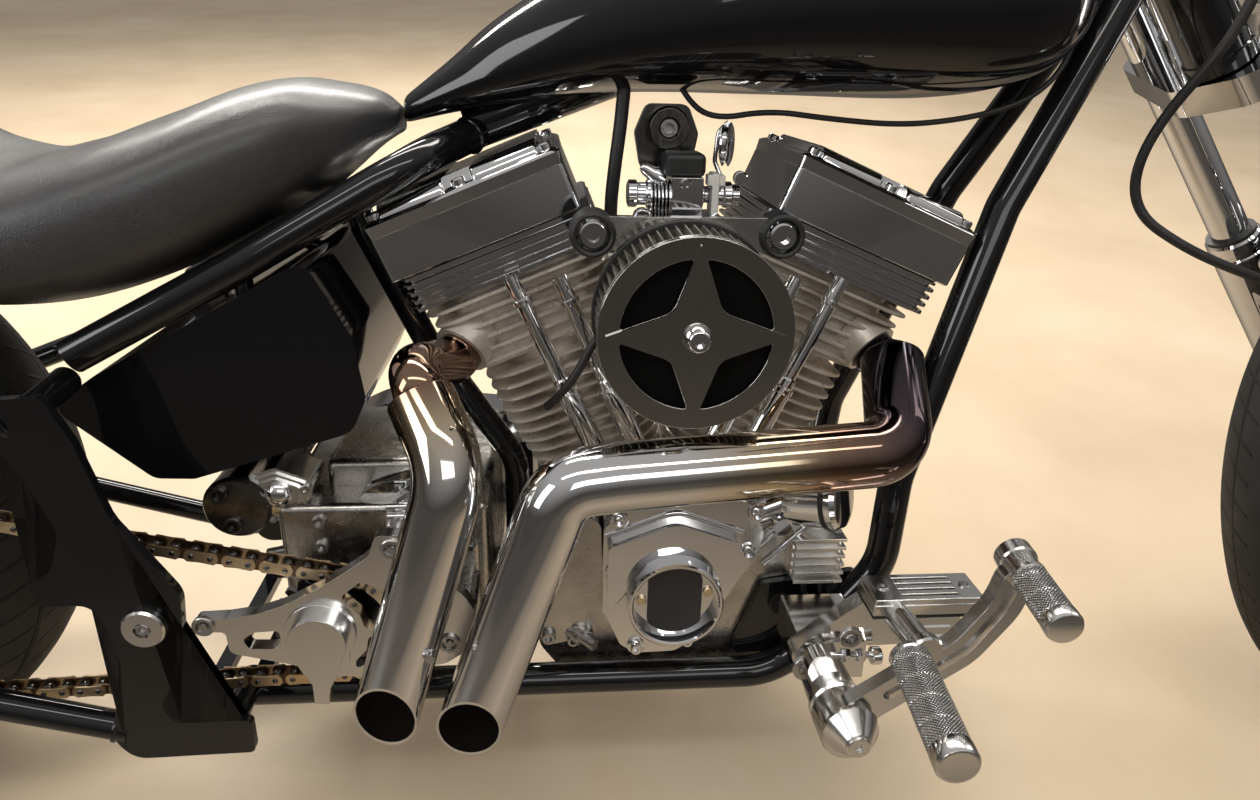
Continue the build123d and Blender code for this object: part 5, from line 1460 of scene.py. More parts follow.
def forward_control(label, s):
    """Bracket with its reservoir, foot peg, pivot and brake rod of one side."""
    out = Vector((0, s, 0))

    def spun(bm, x, z, y0, rows, segs=48):
        at = Vector((x, s * y0, z))
        lathe(bm, at, at + out, rows, segs)

    bm = bmesh.new()
    prism(bm, filleted(BRACKET, [8, 6, 3, 3, 3, 2, 2, 10, 8]), s * 196, s * 214)
    for i in range(4):
        z = 308 - i * 10.5
        block(bm, 1122 + i * 2, 1176, s * 213, s * 216, z - 3.6, z)
    block(bm, 1044, 1106, s * 122, s * 200, 222, 262)
    piece("control_bracket_" + label, bm, ALLOY, bevel=1.4, replaces=("forward_control_" + label,))
    boxes("reservoir_gasket_" + label, SOFT_BLACK, (1090, 1189, s * 199, s * 241, 316, 318.6))
    bm = bmesh.new()
    block(bm, 1090, 1189, s * 199, s * 241, 318.6, 329)
    for x0, x1 in ((1091, 1117), (1168, 1188)):
        block(bm, x0, x1, s * 200, s * 240, 328, 334)
    for i in range(5):
        y = 200 + i * 8.4
        block(bm, 1116, 1169, s * y, s * (y + 6.2), 328, 334)
    piece("reservoir_lid_" + label, bm, ALLOY, bevel=0.9)
    bm = bmesh.new()
    for x in (1104, 1178):
        socket_bolt(bm, (x, s * 220, 333.5), (0, 0, 1), 5.0, 2.2)
    for x, z, r in ((1046, 246, 13), (1084, 278, 10.5)):
        spun(bm, x, z, 213.5, cupped(r, 2.2, 3, r - 0.8, r * 0.56, 0.8))
        spun(bm, x, z, 214, cupped(r * 0.5, 2.6, 3.4, r * 0.42, r * 0.26, 1.4), 32)
    piece("control_screws_" + label, bm, STEEL)
    bm = bmesh.new()
    spun(bm, 1110, 318, 210, [(0, 12.5), (2, 14), (8, 14), (10, 12), (72, 12), (73, 15), (81, 15.4),
                              (83, 14)])
    bmesh.ops.rotate(bm, verts=bm.verts[:], cent=(1110, s * 210, 318),
                     matrix=Matrix.Rotation(math.radians(4.2 * -s), 3, "Z"))
    piece("peg_shank_" + label, bm, ALLOY)
    knurled("peg_grip_" + label, (1104.2, s * 292, 312), (1097, s * 385, 306.8), 16.2)
    bm = bmesh.new()
    tip, back = Vector((1096, s * 401, 306)), Vector((1097.1, s * 384, 306.9))
    lathe(bm, back, tip, [(0, 15), (0.4, 16.6), (13, 16.6), (15.4, 15.2), (15.8, 14), (15.6, 12.8),
                          (15.6, TINY)], 64)
    lathe(bm, (1104.4, s * 286, 312), (1104, s * 292.4, 312), collar(6, 16.6, 1, 1.6), 64)
    piece("peg_caps_" + label, bm, ALLOY)
    # Pivot hub with its faceted cone and the slotted lever behind
    bm = bmesh.new()
    spun(bm, 1062, 240, 134, [(0, 17), (64, 17), (66, 20), (112, 22), (118, 24), (124, 24.6), (126, 23),
                              (128, 23), (130, 24.8), (158, 24.8), (161, 23.4)], 64)
    piece("pivot_hub_" + label, bm, ALLOY)
    bm = bmesh.new()
    rings = []
    for y, r in ((294, 23.6), (298, 23.6), (316, 11.6)):
        rings.append([polar(Vector((1060, 0, 249)), r, k, s * y) for k in spaced(12)])
    loft(bm, rings)
    spun(bm, 1060, 249, 315.6, cupped(10.2, 2.2, 3.2, 9.2, 3.4, 0.6), 40)
    piece("pivot_cone_" + label, bm, ALLOY, bevel=0.5)
    bm = bmesh.new()
    lever_arm = filleted([(1038, 262), (1042, 278), (1058, 278), (1074, 252), (1066, 236), (1048, 240)], 8)
    opening = filleted([(1053, 259), (1059, 262), (1066, 251), (1060, 247)], 3)
    sheet(bm, lever_arm, [opening], s * 222, s * 240)
    piece("pivot_lever_" + label, bm, ALLOY, bevel=2.2)
    bm = bmesh.new()
    sweep(bm, [(1049, s * 228, 270), (1104, s * 226, 267)], 3.4, 20)
    for x0, x1, r, count in ((1044, 1054, 7.0, 24), (1072, 1080, 6.2, 6), (1086, 1093, 6.2, 6),
                             (1099, 1108, 8.0, 24)):
        z = 270 - (x0 - 1049) * 0.055
        lathe(bm, (x0, s * 227, z), (x1, s * 227, z), collar(x1 - x0, r, 1, 1), count)
    piece("brake_rod_" + label, bm, CHROME)


def pedal(label, s):
    """Slotted pedal arm and the toe peg on it."""
    single("pedal_arm_" + label, ALLOY, sheet,
           filleted(strip(ARM, 14), [14, 60, 60, 60, 14, 14, 60, 60, 60, 14], 2.5),
           [filleted(strip(ARM_SLOT, 4.6), [4.5, 50, 50, 50, 4.5, 4.5, 50, 50, 50, 4.5], 1.5)], s * 275,
           s * 289, bevel=1.5)
    bm = bmesh.new()
    for x, z, turn in ((1163, 348, 56), (1166, 352, 56), (1169, 356, 56), (1143, 326, 40), (1134, 320, 36),
                       (1086, 287, 36), (1083, 285, 36)):
        m = Matrix.Translation((x, s * 284, z)) @ Matrix.Rotation(math.radians(-turn), 4, "Y")
        block(bm, -0.8, 0.8, -5.3, 5.3, -1.0, 1.2, m)
    piece("pedal_notches_" + label, bm, ALLOY)
    bm = bmesh.new()
    a, b = Vector((1189, s * 262, 392)), Vector((1184, s * 354, 384))
    lathe(bm, a, b, [(0, 13), (1.4, 15.4), (13, 15.4), (14.4, 14.2), (28, 12.4), (29.5, 14), (33, 14),
                     (34, 13)], 64)
    piece("toe_clamp_" + label, bm, ALLOY)
    d = (b - a).normalized()
    knurled("toe_grip_" + label, a + d * 34, a + d * 81, 13.8, groove=20.0)
    turned("toe_cap_" + label, ALLOY, a + d * 80.5, b,
           [(0, 13), (0.5, 14.2), (9, 14.2), (11.4, 13), (12, 12), (11.8, TINY)], 64)


for label, s in SIDES:
    forward_control(label, s)
    pedal(label, s)

# Wheels: tyres with tread, billet rims, drilled discs, rear sprocket


def tyre(name, centre, outer, width, rim_r, crown, body, replaces):
    """Tyre skin; its tread blocks are cut by the finish from how far round and across each point is."""
    half = width / 2
    shoulder = outer - crown + math.sqrt(crown ** 2 - (0.9 * half) ** 2)
    bulge = (shoulder + rim_r) / 2 + 4
    side = [(half * 0.80, rim_r + 1), (half * 0.86, rim_r + 3), (half * 0.93, rim_r + 10),
            (half * 0.935, rim_r + 12)]
    for i in range(9):
        t = i / 8
        r = rim_r + 14 + (shoulder - 3 - rim_r - 14) * t
        out = half * (0.94 + 0.055 * math.sin(math.pi * min(1.0, (r - rim_r) / (bulge - rim_r) * 0.5)) - 0.1
                      * max(0.0, t - 0.55) ** 2 / 0.2)
        side.append((out, r))
    top = []
    for i in range(15):
        y = half * (0.9 - 1.8 * i / 14)
        top.append((y, outer - crown + math.sqrt(crown ** 2 - y ** 2)))
    rows = side + top + [(-y, r) for y, r in reversed(side)] + [(-half * 0.78, rim_r - 0.5),
                                                                (half * 0.78, rim_r - 0.5)]
    bm = bmesh.new()
    around = bm.verts.layers.float.new("tread_around")
    across = bm.verts.layers.float.new("tread_across")
    count = 120
    last = None
    for i in range(count + 1):
        k = 2 * math.pi * i / count
        ring = []
        for y, r in rows:
            vert = bm.verts.new((centre.x + r * math.cos(k), y, centre.z + r * math.sin(k)))
            vert[around] = 60.0 * i / count
            vert[across] = y / half if r >= shoulder - 1 else 2.0
            ring.append(vert)
        if last:
            for j in range(len(rows)):
                n = (j + 1) % len(rows)
                bm.faces.new((last[j], last[n], ring[n], ring[j]))
        last = ring
    piece(name, bm, TREAD, body, replaces=replaces, clean=False)


def wheel_side(bm, centre, y0, rows, s):
    """Turned part on one side of a wheel's centre."""
    at = Vector((centre.x, s * y0, centre.z))
    lathe(bm, at, at + Vector((0, s, 0)), rows)


def arm(centre, angle, side):
    """Outline of an arm from a centre; one side's (distance out, half width) is mirrored."""
    u, v = (math.cos(angle), math.sin(angle)), (-math.sin(angle), math.cos(angle))
    return [(centre.x + u[0] * d + v[0] * w, centre.z + u[1] * d + v[1] * w)
            for d, w in side + [(d, -w) for d, w in reversed(side)]]


def billet_rim(label, centre, r, half, spoke_half, hub_half, hub_r, body):
    """Turned barrel, five spokes and hub."""
    bm = bmesh.new()
    a, b = Vector((centre.x, -half, centre.z)), Vector((centre.x, half, centre.z))
    w = 2 * half
    lathe(bm, a, b, [(0, r - 16), (0, r - 1), (1, r - 0.3), (4, r - 1.6), (9, r - 1.6), (13, r - 8),
                     (w - 13, r - 8), (w - 9, r - 1.6), (w - 4, r - 1.6), (w - 1, r - 0.3), (w, r - 1),
                     (w, r - 16), (w - 2, r - 22), (w * 0.72, r - 36), (w * 0.28, r - 36), (2, r - 22),
                     (0, r - 16)], 128)
    piece(label + "_barrel", bm, CHROME, body, replaces=(label + "_rim",))
    bm = bmesh.new()
    side = [(hub_r * 0.6, 26), (r * 0.55, 15), (r - 34, 20), (r - 24, 34)]
    for k in spaced(5):
        prism(bm, filleted(arm(centre, k + math.pi / 2, side), [4, 60, 30, 4, 4, 30, 60, 4], 3.0), spoke_half,
              -spoke_half)
    piece(label + "_spokes", bm, CHROME, body, bevel=4.0)
    bm = bmesh.new()
    a, b = Vector((centre.x, -hub_half, centre.z)), Vector((centre.x, hub_half, centre.z))
    w = 2 * hub_half
    lathe(bm, a, b, [(0, 12.2), (0, hub_r - 3), (3, hub_r), (10, hub_r), (14, hub_r - 5), (w - 14, hub_r - 5),
                     (w - 10, hub_r), (w - 3, hub_r), (w, hub_r - 3), (w, 12.2)], 64)
    piece(label + "_hub", bm, ALLOY, body)


def rotor(label, centre, y, r, body):
    """Drilled brake disc on a dark carrier with five arms."""
    bm = bmesh.new()
    holes = []
    for ring, rr in enumerate((r - 9, r - 18, r - 27)):
        for k in spaced(30, ring / 3):
            holes.append(ring_loop(polar(centre, rr, k), 2.6, 8))
    sheet(bm, ring_loop(centre, r, 120), holes + [ring_loop(centre, r - 34, 90)], y - 2.4, y + 2.4)
    piece(label + "_disc", bm, STEEL, body)
    bm = bmesh.new()
    side = [(38, 15), (r - 60, 8), (r - 28, 10)]
    for k in spaced(5):
        prism(bm, filleted(arm(centre, k, side), [2, 30, 5, 5, 30, 2], 2.5), y - 3.0, y + 3.0)
    prism(bm, ring_loop(centre, 47, 64), y - 3.2, y + 3.2)
    piece(label + "_disc_carrier", bm, DARK_METAL, body, bevel=0.8)
    bm = bmesh.new()
    s = 1 if y > 0 else -1
    for k in spaced(5):
        for rr, rad in ((r - 31, 6.0), (34, 5.6)):
            at = polar(centre, rr, k, y + s * 2.6)
            socket_bolt(bm, at, (0, s, 0), rad, 3.4, 20)
    piece(label + "_disc_bolts", bm, STEEL, body)


REAR_R, REAR_W, REAR_RIM_R = 325.0, 240.0, 230.0
FRONT_R, FRONT_W, FRONT_RIM_R = 330.0, 130.0, 250.0
tyre("rear_tyre_skin", REAR_AXLE, REAR_R, REAR_W, REAR_RIM_R, 140.0, "rear_wheel", ("rear_tyre",))
tyre("front_tyre_skin", FRONT_AXLE, FRONT_R, FRONT_W, FRONT_RIM_R, 68.0, "front_wheel", ("front_tyre",))
billet_rim("rear", REAR_AXLE, REAR_RIM_R, REAR_W * 0.42, 24, 74, 46, "rear_wheel")
billet_rim("front", FRONT_AXLE, FRONT_RIM_R, FRONT_W * 0.42, 17, 60, 36, "front_wheel")
rotor("rear", REAR_AXLE, 139.0, 146.0, "rear_wheel")
rotor("front", FRONT_AXLE, -69.0, 146.0, "front_wheel")
bm = bmesh.new()
wheel_side(bm, REAR_AXLE, 73, [(0, 12.2), (0, 50), (20, 44), (56, 42), (63.5, 48), (63.5, 12.2)], 1)
wheel_side(bm, REAR_AXLE, 73, [(0, 12.2), (0, 58), (24, 50), (64, 48), (76, 56), (76, 12.2)], -1)
piece("rear_hub_drums", bm, ALLOY, "rear_wheel")
bm = bmesh.new()
teeth = toothed(REAR_AXLE, REAR_TEETH, ((-0.34, -4.2), (-0.24, -3.0), (-0.1, 4.4), (0.1, 4.4), (0.24, -3.0),
                                        (0.34, -4.2)))
holes = []
for a in spaced(6, 0.5):
    holes.append(ring_loop(polar(REAR_AXLE, 90, a), 21, 32))
sheet(bm, teeth, holes + [ring_loop(REAR_AXLE, 12.4, 32)], CHAIN_Y - 2.5, CHAIN_Y + 2.5)
piece("rear_sprocket_plate", bm, STEEL, "rear_wheel", bevel=0.5, replaces=("rear_sprocket",))
bm = bmesh.new()
for a in spaced(6):
    socket_bolt(bm, polar(REAR_AXLE, 40, a, CHAIN_Y - 2.2), TO_RIGHT, 6.4, 6)
piece("rear_sprocket_bolts", bm, CHROME, "rear_wheel")


# Fenders: rounded channels with rolled edges


FENDER_EDGE = 24.0


def fender(name, centre, crown, half, skirt, start, turn, body, replaces):
    """Arc of a rounded channel; angles run from forward over the top."""
    section = [(-half, crown - skirt)]
    for i in range(9):
        k = math.radians(180 - 90 * i / 8)
        section.append((-half + FENDER_EDGE + FENDER_EDGE * math.cos(k), crown - 19 + 24.5 * math.sin(k)))
    for i in range(1, 8):
        y = -half + FENDER_EDGE + 2 * (half - FENDER_EDGE) * i / 8
        section.append((y, crown + 5.5 + 1.6 * math.sin(math.pi * i / 8)))
    for i in range(9):
        k = math.radians(90 - 90 * i / 8)
        section.append((half - FENDER_EDGE + FENDER_EDGE * math.cos(k), crown - 19 + 24.5 * math.sin(k)))
    section.append((half, crown - skirt))
    inner = [(y * (half - 4.5) / half, r - (5.0 if r > crown - 15 else 1.0)) for y, r in reversed(section)]
    loop = section + inner
    bm = bmesh.new()
    rings = []
    count = int(turn / 2)
    for i in range(count + 1):
        k = math.radians(start + turn * i / count)
        ease = min(1.0, i / 3, (count - i) / 3)
        ring = []
        for y, r in loop:
            r = r if r > crown - skirt + 2 else r + (1 - math.sqrt(ease)) * 18
            ring.append(polar(centre, r, k, y))
        rings.append(ring)
    loft(bm, rings)
    piece(name, bm, TANK_BLACK, body, bevel=1.0, replaces=replaces)
    bm = bmesh.new()
    for y in (-half + 1.0, half - 1.0):
        path = []
        for i in range(2, count - 1):
            k = math.radians(start + turn * i / count)
            r = crown - skirt + 1
            path.append(polar(centre, r, k, y))
        sweep(bm, path, 3.2, 12)
    piece(name + "_lip", bm, TANK_BLACK, body)


REAR_CROWN, FRONT_CROWN = REAR_R + 19.5, FRONT_R + 13.5
fender("rear_fender_skin", REAR_AXLE, REAR_CROWN, 132, 44, 62, 128, "frame", ("rear_fender",))
fender("front_fender_skin", FRONT_AXLE, FRONT_CROWN, 80, 52, -38, 168, "fork", ("front_fender",))


def on_rear(deg, r, y):
    """Point of the rear wheel's plane moved out to y."""
    return polar(REAR_AXLE, r, math.radians(deg), y)


bm = bmesh.new()
for s in (-1, 1):
    sweep(bm, bent([on_rear(28, 57, s * 178), (22, s * 178, REAR_R + 175),
                    on_rear(100, REAR_CROWN - 28, s * 131)], 30), 7, 20)
    for at, d in ((on_rear(100, REAR_CROWN - 28, s * 133), s), (on_rear(96, REAR_CROWN - 40, s * 133), s)):
        socket_bolt(bm, at, (0, d, 0), 7.0, 5.0, 20)
piece("rear_fender_struts", bm, CHROME)
bm = bmesh.new()
k = math.atan2(UP.z, UP.x)
stay = polar(FRONT_AXLE, FRONT_CROWN - 30, k)
for s in (-1, 1):
    lathe(bm, (stay.x, s * 77, stay.z), (stay.x, s * 106, stay.z), [(0, 14), (5, 14), (7, 10), (29, 10)], 32)
    socket_bolt(bm, (stay.x, s * 80, stay.z), (0, s, 0), 5, 3, 20)
piece("front_fender_stays", bm, CHROME, "fork")

# Tail lamp and blank plate
lamp_root, lamp_face = on_rear(142, REAR_CROWN + 6, 0), on_rear(142, REAR_CROWN + 48, 0)
d = (lamp_face - lamp_root).normalized()
turned("tail_lamp_shell", CHROME, lamp_root, lamp_face,
       [(0, 22), (6, 24), (20, 30), (34, 32), (40, 32), (42, 30), (42, 27), (34, 27), (34, TINY)], 64,
       replaces=("tail_lamp",))
turned("tail_lamp_lens", LENS, lamp_root + d * 33, lamp_face,
       [(0, 26.8), (4, 26.8), (8, 24), (10.4, 16), (11.4, TINY)], 64)
plate_x, plate_z = -REAR_CROWN - 28, REAR_R + 189
bm = bmesh.new()
block(bm, plate_x + 1.4, plate_x + 5.6, -92, 92, plate_z - 114, plate_z + 6)
prism(bm, [(plate_x + 1, plate_z), (plate_x + 82, plate_z + 31), (plate_x + 78, plate_z),
           (plate_x + 1, plate_z - 14)], 22, -22)
piece("plate_backing", bm, FRAME_BLACK, bevel=1.5)
bm = bmesh.new()
m = Matrix.Translation((plate_x + 0.6, 0, plate_z - 54)) @ Matrix.Rotation(math.radians(90), 4, "Y")
stack(bm, m, [(-0.8, -55, 55, 86, 8), (1.0, -55, 55, 86, 8)])
piece("blank_plate", bm, NYLON)
bm = bmesh.new()
for y in (-60, 60):
    socket_bolt(bm, (plate_x + 0.4, y, plate_z - 6), (-1, 0, 0), 5.0, 2.4, 20)
piece("plate_bolts", bm, STEEL)

# Fork: yokes, legs, axle, headlamp
FORK_OFFSET, LEG_Y = 65.0, 115.0
STEER_FRAME = Matrix.Identity(4)
STEER_FRAME.col[0][:3] = FWD
STEER_FRAME.col[1][:3] = Vector((0, 1, 0))
STEER_FRAME.col[2][:3] = UP
STEER_FRAME.col[3][:3] = NECK_LOW
TREE = [(-34, -34), (-34, 34), (FORK_OFFSET - 12, LEG_Y + 30), (FORK_OFFSET + 30, LEG_Y + 30),
        (FORK_OFFSET + 34, 0), (FORK_OFFSET + 30, -LEG_Y - 30), (FORK_OFFSET - 12, -LEG_Y - 30)]
TURN_UP = Matrix(((1, 0, 0, 0), (0, 0, 1, 0), (0, 1, 0, 0), (0, 0, 0, 1)))
bm = bmesh.new()
outline = filleted(TREE, [24, 24, 28, 26, 60, 26, 28], 3.0)
for s0, s1 in ((-31, -1), (NECK_LEN + 1, NECK_LEN + 25)):
    prism(bm, outline, s0, s1, STEER_FRAME @ TURN_UP)
piece("yoke_plates", bm, CHROME, "fork", bevel=3.0, replaces=("fork_yokes",))
bm = bmesh.new()
lathe(bm, along(-34), along(NECK_LEN + 36),
      [(0, 10), (2, 14), (34, 14.8), (199, 14.8), (200, 20), (212, 20), (214, 17)], 6)
for s in (-1, 1):
    lathe(bm, along(NECK_LEN + 24, FORK_OFFSET, s * LEG_Y), along(NECK_LEN + 36, FORK_OFFSET, s * LEG_Y),
          [(0, 25), (3, 25), (5, 23), (9, 23), (11, 20), (12, 12), (8, 9), (8, TINY)], 48)
    for up in (-16, NECK_LEN + 13):
        socket_bolt(bm, along(up, FORK_OFFSET + 12, s * (LEG_Y + 30)), (0, s, 0), 6.5, 6, 24)
piece("yoke_caps", bm, CHROME, "fork")


def fork_leg(label, s):
    """Stanchion, lower leg and seal of one side."""
    y = s * LEG_Y
    bm = bmesh.new()
    top, mid = along(NECK_LEN + 34, FORK_OFFSET, y), along(-300, FORK_OFFSET, y)
    lathe(bm, top, mid, [(0, 19), (1, 20.5), (498, 20.5)], 56)
    piece("stanchion_" + label, bm, CHROME, "fork", replaces=("fork_leg_" + label,))
    start = along(-250, FORK_OFFSET, y)
    low = Vector((FRONT_AXLE.x + 14, y, FRONT_AXLE.z - 18))
    run = (low - start).length
    bm = bmesh.new()
    lathe(bm, start, low, [(0, 22), (0, 27), (3, 29), (16, 29), (18, 27.6), (22, 27.6), (24, 29),
                           (run - 70, 29), (run - 60, 28), (run - 8, 27), (run, 24)], 64)
    lathe(bm, (FRONT_AXLE.x, s * (LEG_Y - 27), FRONT_AXLE.z),
          (FRONT_AXLE.x, s * (LEG_Y + 29), FRONT_AXLE.z), collar(56, 24, 2, 2), 48)
    piece("fork_lower_" + label, bm, CHROME, "fork")
    turned("fork_seal_" + label, SOFT_BLACK, along(-246, FORK_OFFSET, y), along(-258, FORK_OFFSET, y),
           [(0, 21), (0, 26.4), (4, 26.4), (6, 24), (12, 22)], 48, body="fork")


for label, s in SIDES:
    fork_leg(label, s)
turned("front_axle_bar", CHROME, (FRONT_AXLE.x, -151, FRONT_AXLE.z), (FRONT_AXLE.x, 151, FRONT_AXLE.z),
       [(0, 7), (0, 16), (2, 18), (6, 18), (6.5, 11.9), (295.5, 11.9), (296, 18), (300, 18), (302, 16),
        (302, 7)], 48, body="fork", replaces=("front_axle",))
LAMP = along(60, 158)
turned("headlamp_shell", CHROME, (LAMP.x - 60, 0, LAMP.z), (LAMP.x + 34, 0, LAMP.z),
       [(0, TINY), (0, 22), (3, 40), (12, 56), (30, 68), (60, 77), (70, 78), (72, 76.6), (76, 76.6),
        (78, 78), (90, 78), (94, 75), (94, 70), (88, 69), (84, TINY)], 96, body="fork",
        replaces=("headlamp",))
turned("headlamp_glass", GLASS, (LAMP.x + 25, 0, LAMP.z), (LAMP.x + 34, 0, LAMP.z),
       [(0, 69), (3, 69), (6, 50), (8, 25), (8.6, TINY)], 96, body="fork")
bm = bmesh.new()
lathe(bm, (LAMP.x + 24.6, 0, LAMP.z), (LAMP.x + 26, 0, LAMP.z), [(0, 68), (0.4, 68), (0.4, TINY)], 64)
lathe(bm, (LAMP.x - 50, 0, LAMP.z - 20), along(2, 84), [(0, 14), (60, 14)], 32)
piece("headlamp_bowl", bm, ALLOY, "fork")

# Handlebar, grips, levers
BAR = along(NECK_LEN + 110, 8)
HALF_BAR = [(BAR.x - 225, 410, BAR.z + 118), (BAR.x - 24, 306, BAR.z + 152), (BAR.x + 8, 190, BAR.z + 6),
            (BAR.x, 90, BAR.z)]
bm = bmesh.new()
line = [Vector(p) for p in HALF_BAR] + [Vector((x, -y, z)) for x, y, z in reversed(HALF_BAR)]
sweep(bm, bent(line, 55, 4.0), 12.7, 36)
piece("bar_tube", bm, CHROME, "fork", replaces=("handlebar",))
bm = bmesh.new()
for s in (-1, 1):
    lathe(bm, along(NECK_LEN + 25.3, 8, s * 48), along(NECK_LEN + 124, 8, s * 48),
          [(0, 16), (2, 17), (70, 15), (76, 17), (96, 17), (98.7, 14)], 40)
    lathe(bm, along(NECK_LEN + 110, 8, s * 62), along(NECK_LEN + 110, 8, s * 34), collar(28, 20, 2, 2), 40)
    for f in (-6, 22):
        socket_bolt(bm, along(NECK_LEN + 122, f, s * 48), UP, 4.6, 5, 20)
piece("bar_risers", bm, CHROME, "fork")


def bar_end(label, s):
    """Grip and lever of one side; the right one has the brake's reservoir."""
    a, b = (Vector((x, s * y, z)) for x, y, z in HALF_BAR[:2])
    d = (b - a).normalized()
    bm = bmesh.new()
    rows = [(0, 10), (0, 16), (2, 17)]
    for i in range(15):
        t = 7 + i * 7
        rows += [(t, 17), (t + 0.6, 15.8), (t + 2.2, 15.8), (t + 2.8, 17)]
    rows += [(116, 17), (119, 18.4), (122, 18.4), (122, 13)]
    lathe(bm, a - d * 4, b, rows, 40)
    piece("grip_rubber_" + label, bm, SOFT_BLACK, "fork", replaces=("grip_" + label,))
    c0, c1 = a + d * 122, a + d * 158
    lever_a, lever_b = c1 + Vector((34, 0, -6)), a + Vector((40, s * 10, -10))
    bm = bmesh.new()
    lathe(bm, c0, c1, collar(36, 21, 2, 2), 40)
    sweep(bm, [c0 + d * 18 + Vector((12, 0, 0)), lever_a], 9, 24)
    lathe(bm, lever_a + Vector((0, 0, 11)), lever_a - Vector((0, 0, 11)), collar(22, 10, 1.5, 2), 32)
    middle = lever_a.lerp(lever_b, 0.5) + Vector((5, 0, 0))
    path = bent([lever_a, middle, lever_b], 200, 6.0)
    sweep(bm, path, 7, 20, radii=[8 - 2.4 * i / len(path) for i in range(len(path))])
    bmesh.ops.create_uvsphere(bm, u_segments=20, v_segments=12, radius=8.0,
                              matrix=Matrix.Translation(lever_b))
    piece("bar_lever_" + label, bm, CHROME, "fork")
    if s < 0:
        bm = bmesh.new()
        reservoir = c0 + d * 18 + Vector((14, 0, 26))
        m = Matrix.Translation(reservoir) @ Matrix.Rotation(math.atan2(d.y, d.x), 4, "Z")
        stack(bm, m, [(-14, -20, 20, 13, 6), (6, -22, 22, 15, 6)])
        stack(bm, m, [(6.6, -23, 23, 16, 6), (11, -23, 23, 16, 6), (12.5, -21, 21, 14, 5)])
        piece("bar_reservoir", bm, CHROME, "fork", bevel=0.8)


for label, s in SIDES:
    bar_end(label, s)

# Calipers


def arc_block(bm, centre, r0, r1, a0, a1, y0, y1):
    """Block between two radii and two angles of a wheel."""
    pts = arc(centre.x, centre.z, r1, a0, a1 - a0, 12) + arc(centre.x, centre.z, r0, a1, a0 - a1, 12)
    prism(bm, filleted(pts, [9] + [0] * 11 + [9, 9] + [0] * 11 + [9], 2.0), y0, y1)


def caliper(name, centre, a0, a1, y_disc, s, bracket, body, replaces):
    """Two halves over the disc's rim, with piston caps and through bolts."""
    bm = bmesh.new()
    for y0, y1 in ((y_disc + s * 7.6, y_disc + s * 33), (y_disc - s * 7.4, y_disc - s * 17)):
        arc_block(bm, centre, 92, 176, a0, a1, y0, y1)
    arc_block(bm, centre, 153, 176, a0 + 6, a1 - 6, y_disc - 12, y_disc + 12)
    sweep(bm, bracket, 11.5, 24)
    piece(name, bm, ALLOY, body, bevel=3.0, replaces=replaces)
    bm = bmesh.new()
    mid = (a0 + a1) / 2
    for k in (mid - 9, mid + 9):
        at = polar(centre, 126, math.radians(k), y_disc + s * 32.6)
        lathe(bm, at, at + Vector((0, s, 0)), cupped(15, 1.6, 2.6, 13.6, 7.5, 1.2), 40)
    for k in (a0 + 5, mid, a1 - 5):
        socket_bolt(bm, polar(centre, 164, math.radians(k), y_disc + s * 32.6), (0, s, 0), 6.0, 6, 24)
    piece(name + "_bolts", bm, STEEL, body)


caliper("front_caliper_body", FRONT_AXLE, 146, 186, -69, -1,
        ((FRONT_AXLE.x - 124, -92, FRONT_AXLE.z + 66), (FRONT_AXLE.x - 78, -LEG_Y + 20, FRONT_AXLE.z + 86)),
        "fork", ("front_caliper",))
caliper("rear_caliper_body", REAR_AXLE, 96, 140, 139, 1,
        ((-40, 168, REAR_R + 120), (16, 182, REAR_R + 22)), "frame", ("rear_caliper",))

# Left side: primary drive cover
PRIMARY = [(1038, 235), (1016, 186), (954, 166), (620, 172), (545, 198), (520, 262), (550, 340), (620, 374),
           (950, 344), (1020, 300)]
CHEST_IN = [(1022, 240), (1006, 204), (640, 196), (576, 220), (560, 262), (576, 320), (640, 350),
            (950, 324), (1002, 290)]
bm = bmesh.new()
prism(bm, filleted(CHEST_IN, 24), 92.5, 136)
prism(bm, filleted(PRIMARY, [40, 40, 60, 60, 60, 60, 60, 60, 60, 40]), 134, 188)
piece("primary_shell", bm, CHROME, bevel=9.0, replaces=("primary_cover",))
bm = bmesh.new()
for x, z, r in ((930, 240, 62), (612, 268, 76)):
    lathe(bm, (x, 187, z), (x, 199, z),
          [(0, r), (6, r), (9, r - 3), (11, r - 9), (8.4, r - 14), (8.4, r - 40), (10.5, r - 42),
           (10.5, TINY)], 80)
    for k in spaced(6, 0.5):
        socket_bolt(bm, (x + (r - 6) * math.cos(k), 196, z + (r - 6) * math.sin(k)), (0, 1, 0), 4.4, 3.0, 20)
piece("primary_covers", bm, ALLOY)
bm = bmesh.new()
for x, z in filleted([(1024, 240), (1004, 198), (948, 180), (624, 186), (556, 208), (534, 262), (562, 330),
                      (624, 360), (944, 332), (1008, 294)], 4)[::3]:
    socket_bolt(bm, (x, 187.5, z), (0, 1, 0), 4.6, 4.0, 20)
piece("primary_bolts", bm, STEEL)


# Cords: each follows the CAD route's points, or runs from one fitting into another


def bezier_length(points):
    """Length of the smooth curve that a clamped NURBS of order 3 draws from its points."""
    joints = [points[0]] + [(a + b) / 2 for a, b in zip(points[1:-2], points[2:-1])] + [points[-1]]
    total, last = 0.0, points[0]
    for start, control, end in zip(joints, points[1:-1], joints[1:]):
        for i in range(1, 25):
            t = i / 24
            here = start * (1 - t) ** 2 + control * 2 * t * (1 - t) + end * t * t
            total += (here - last).length
            last = here
    return total


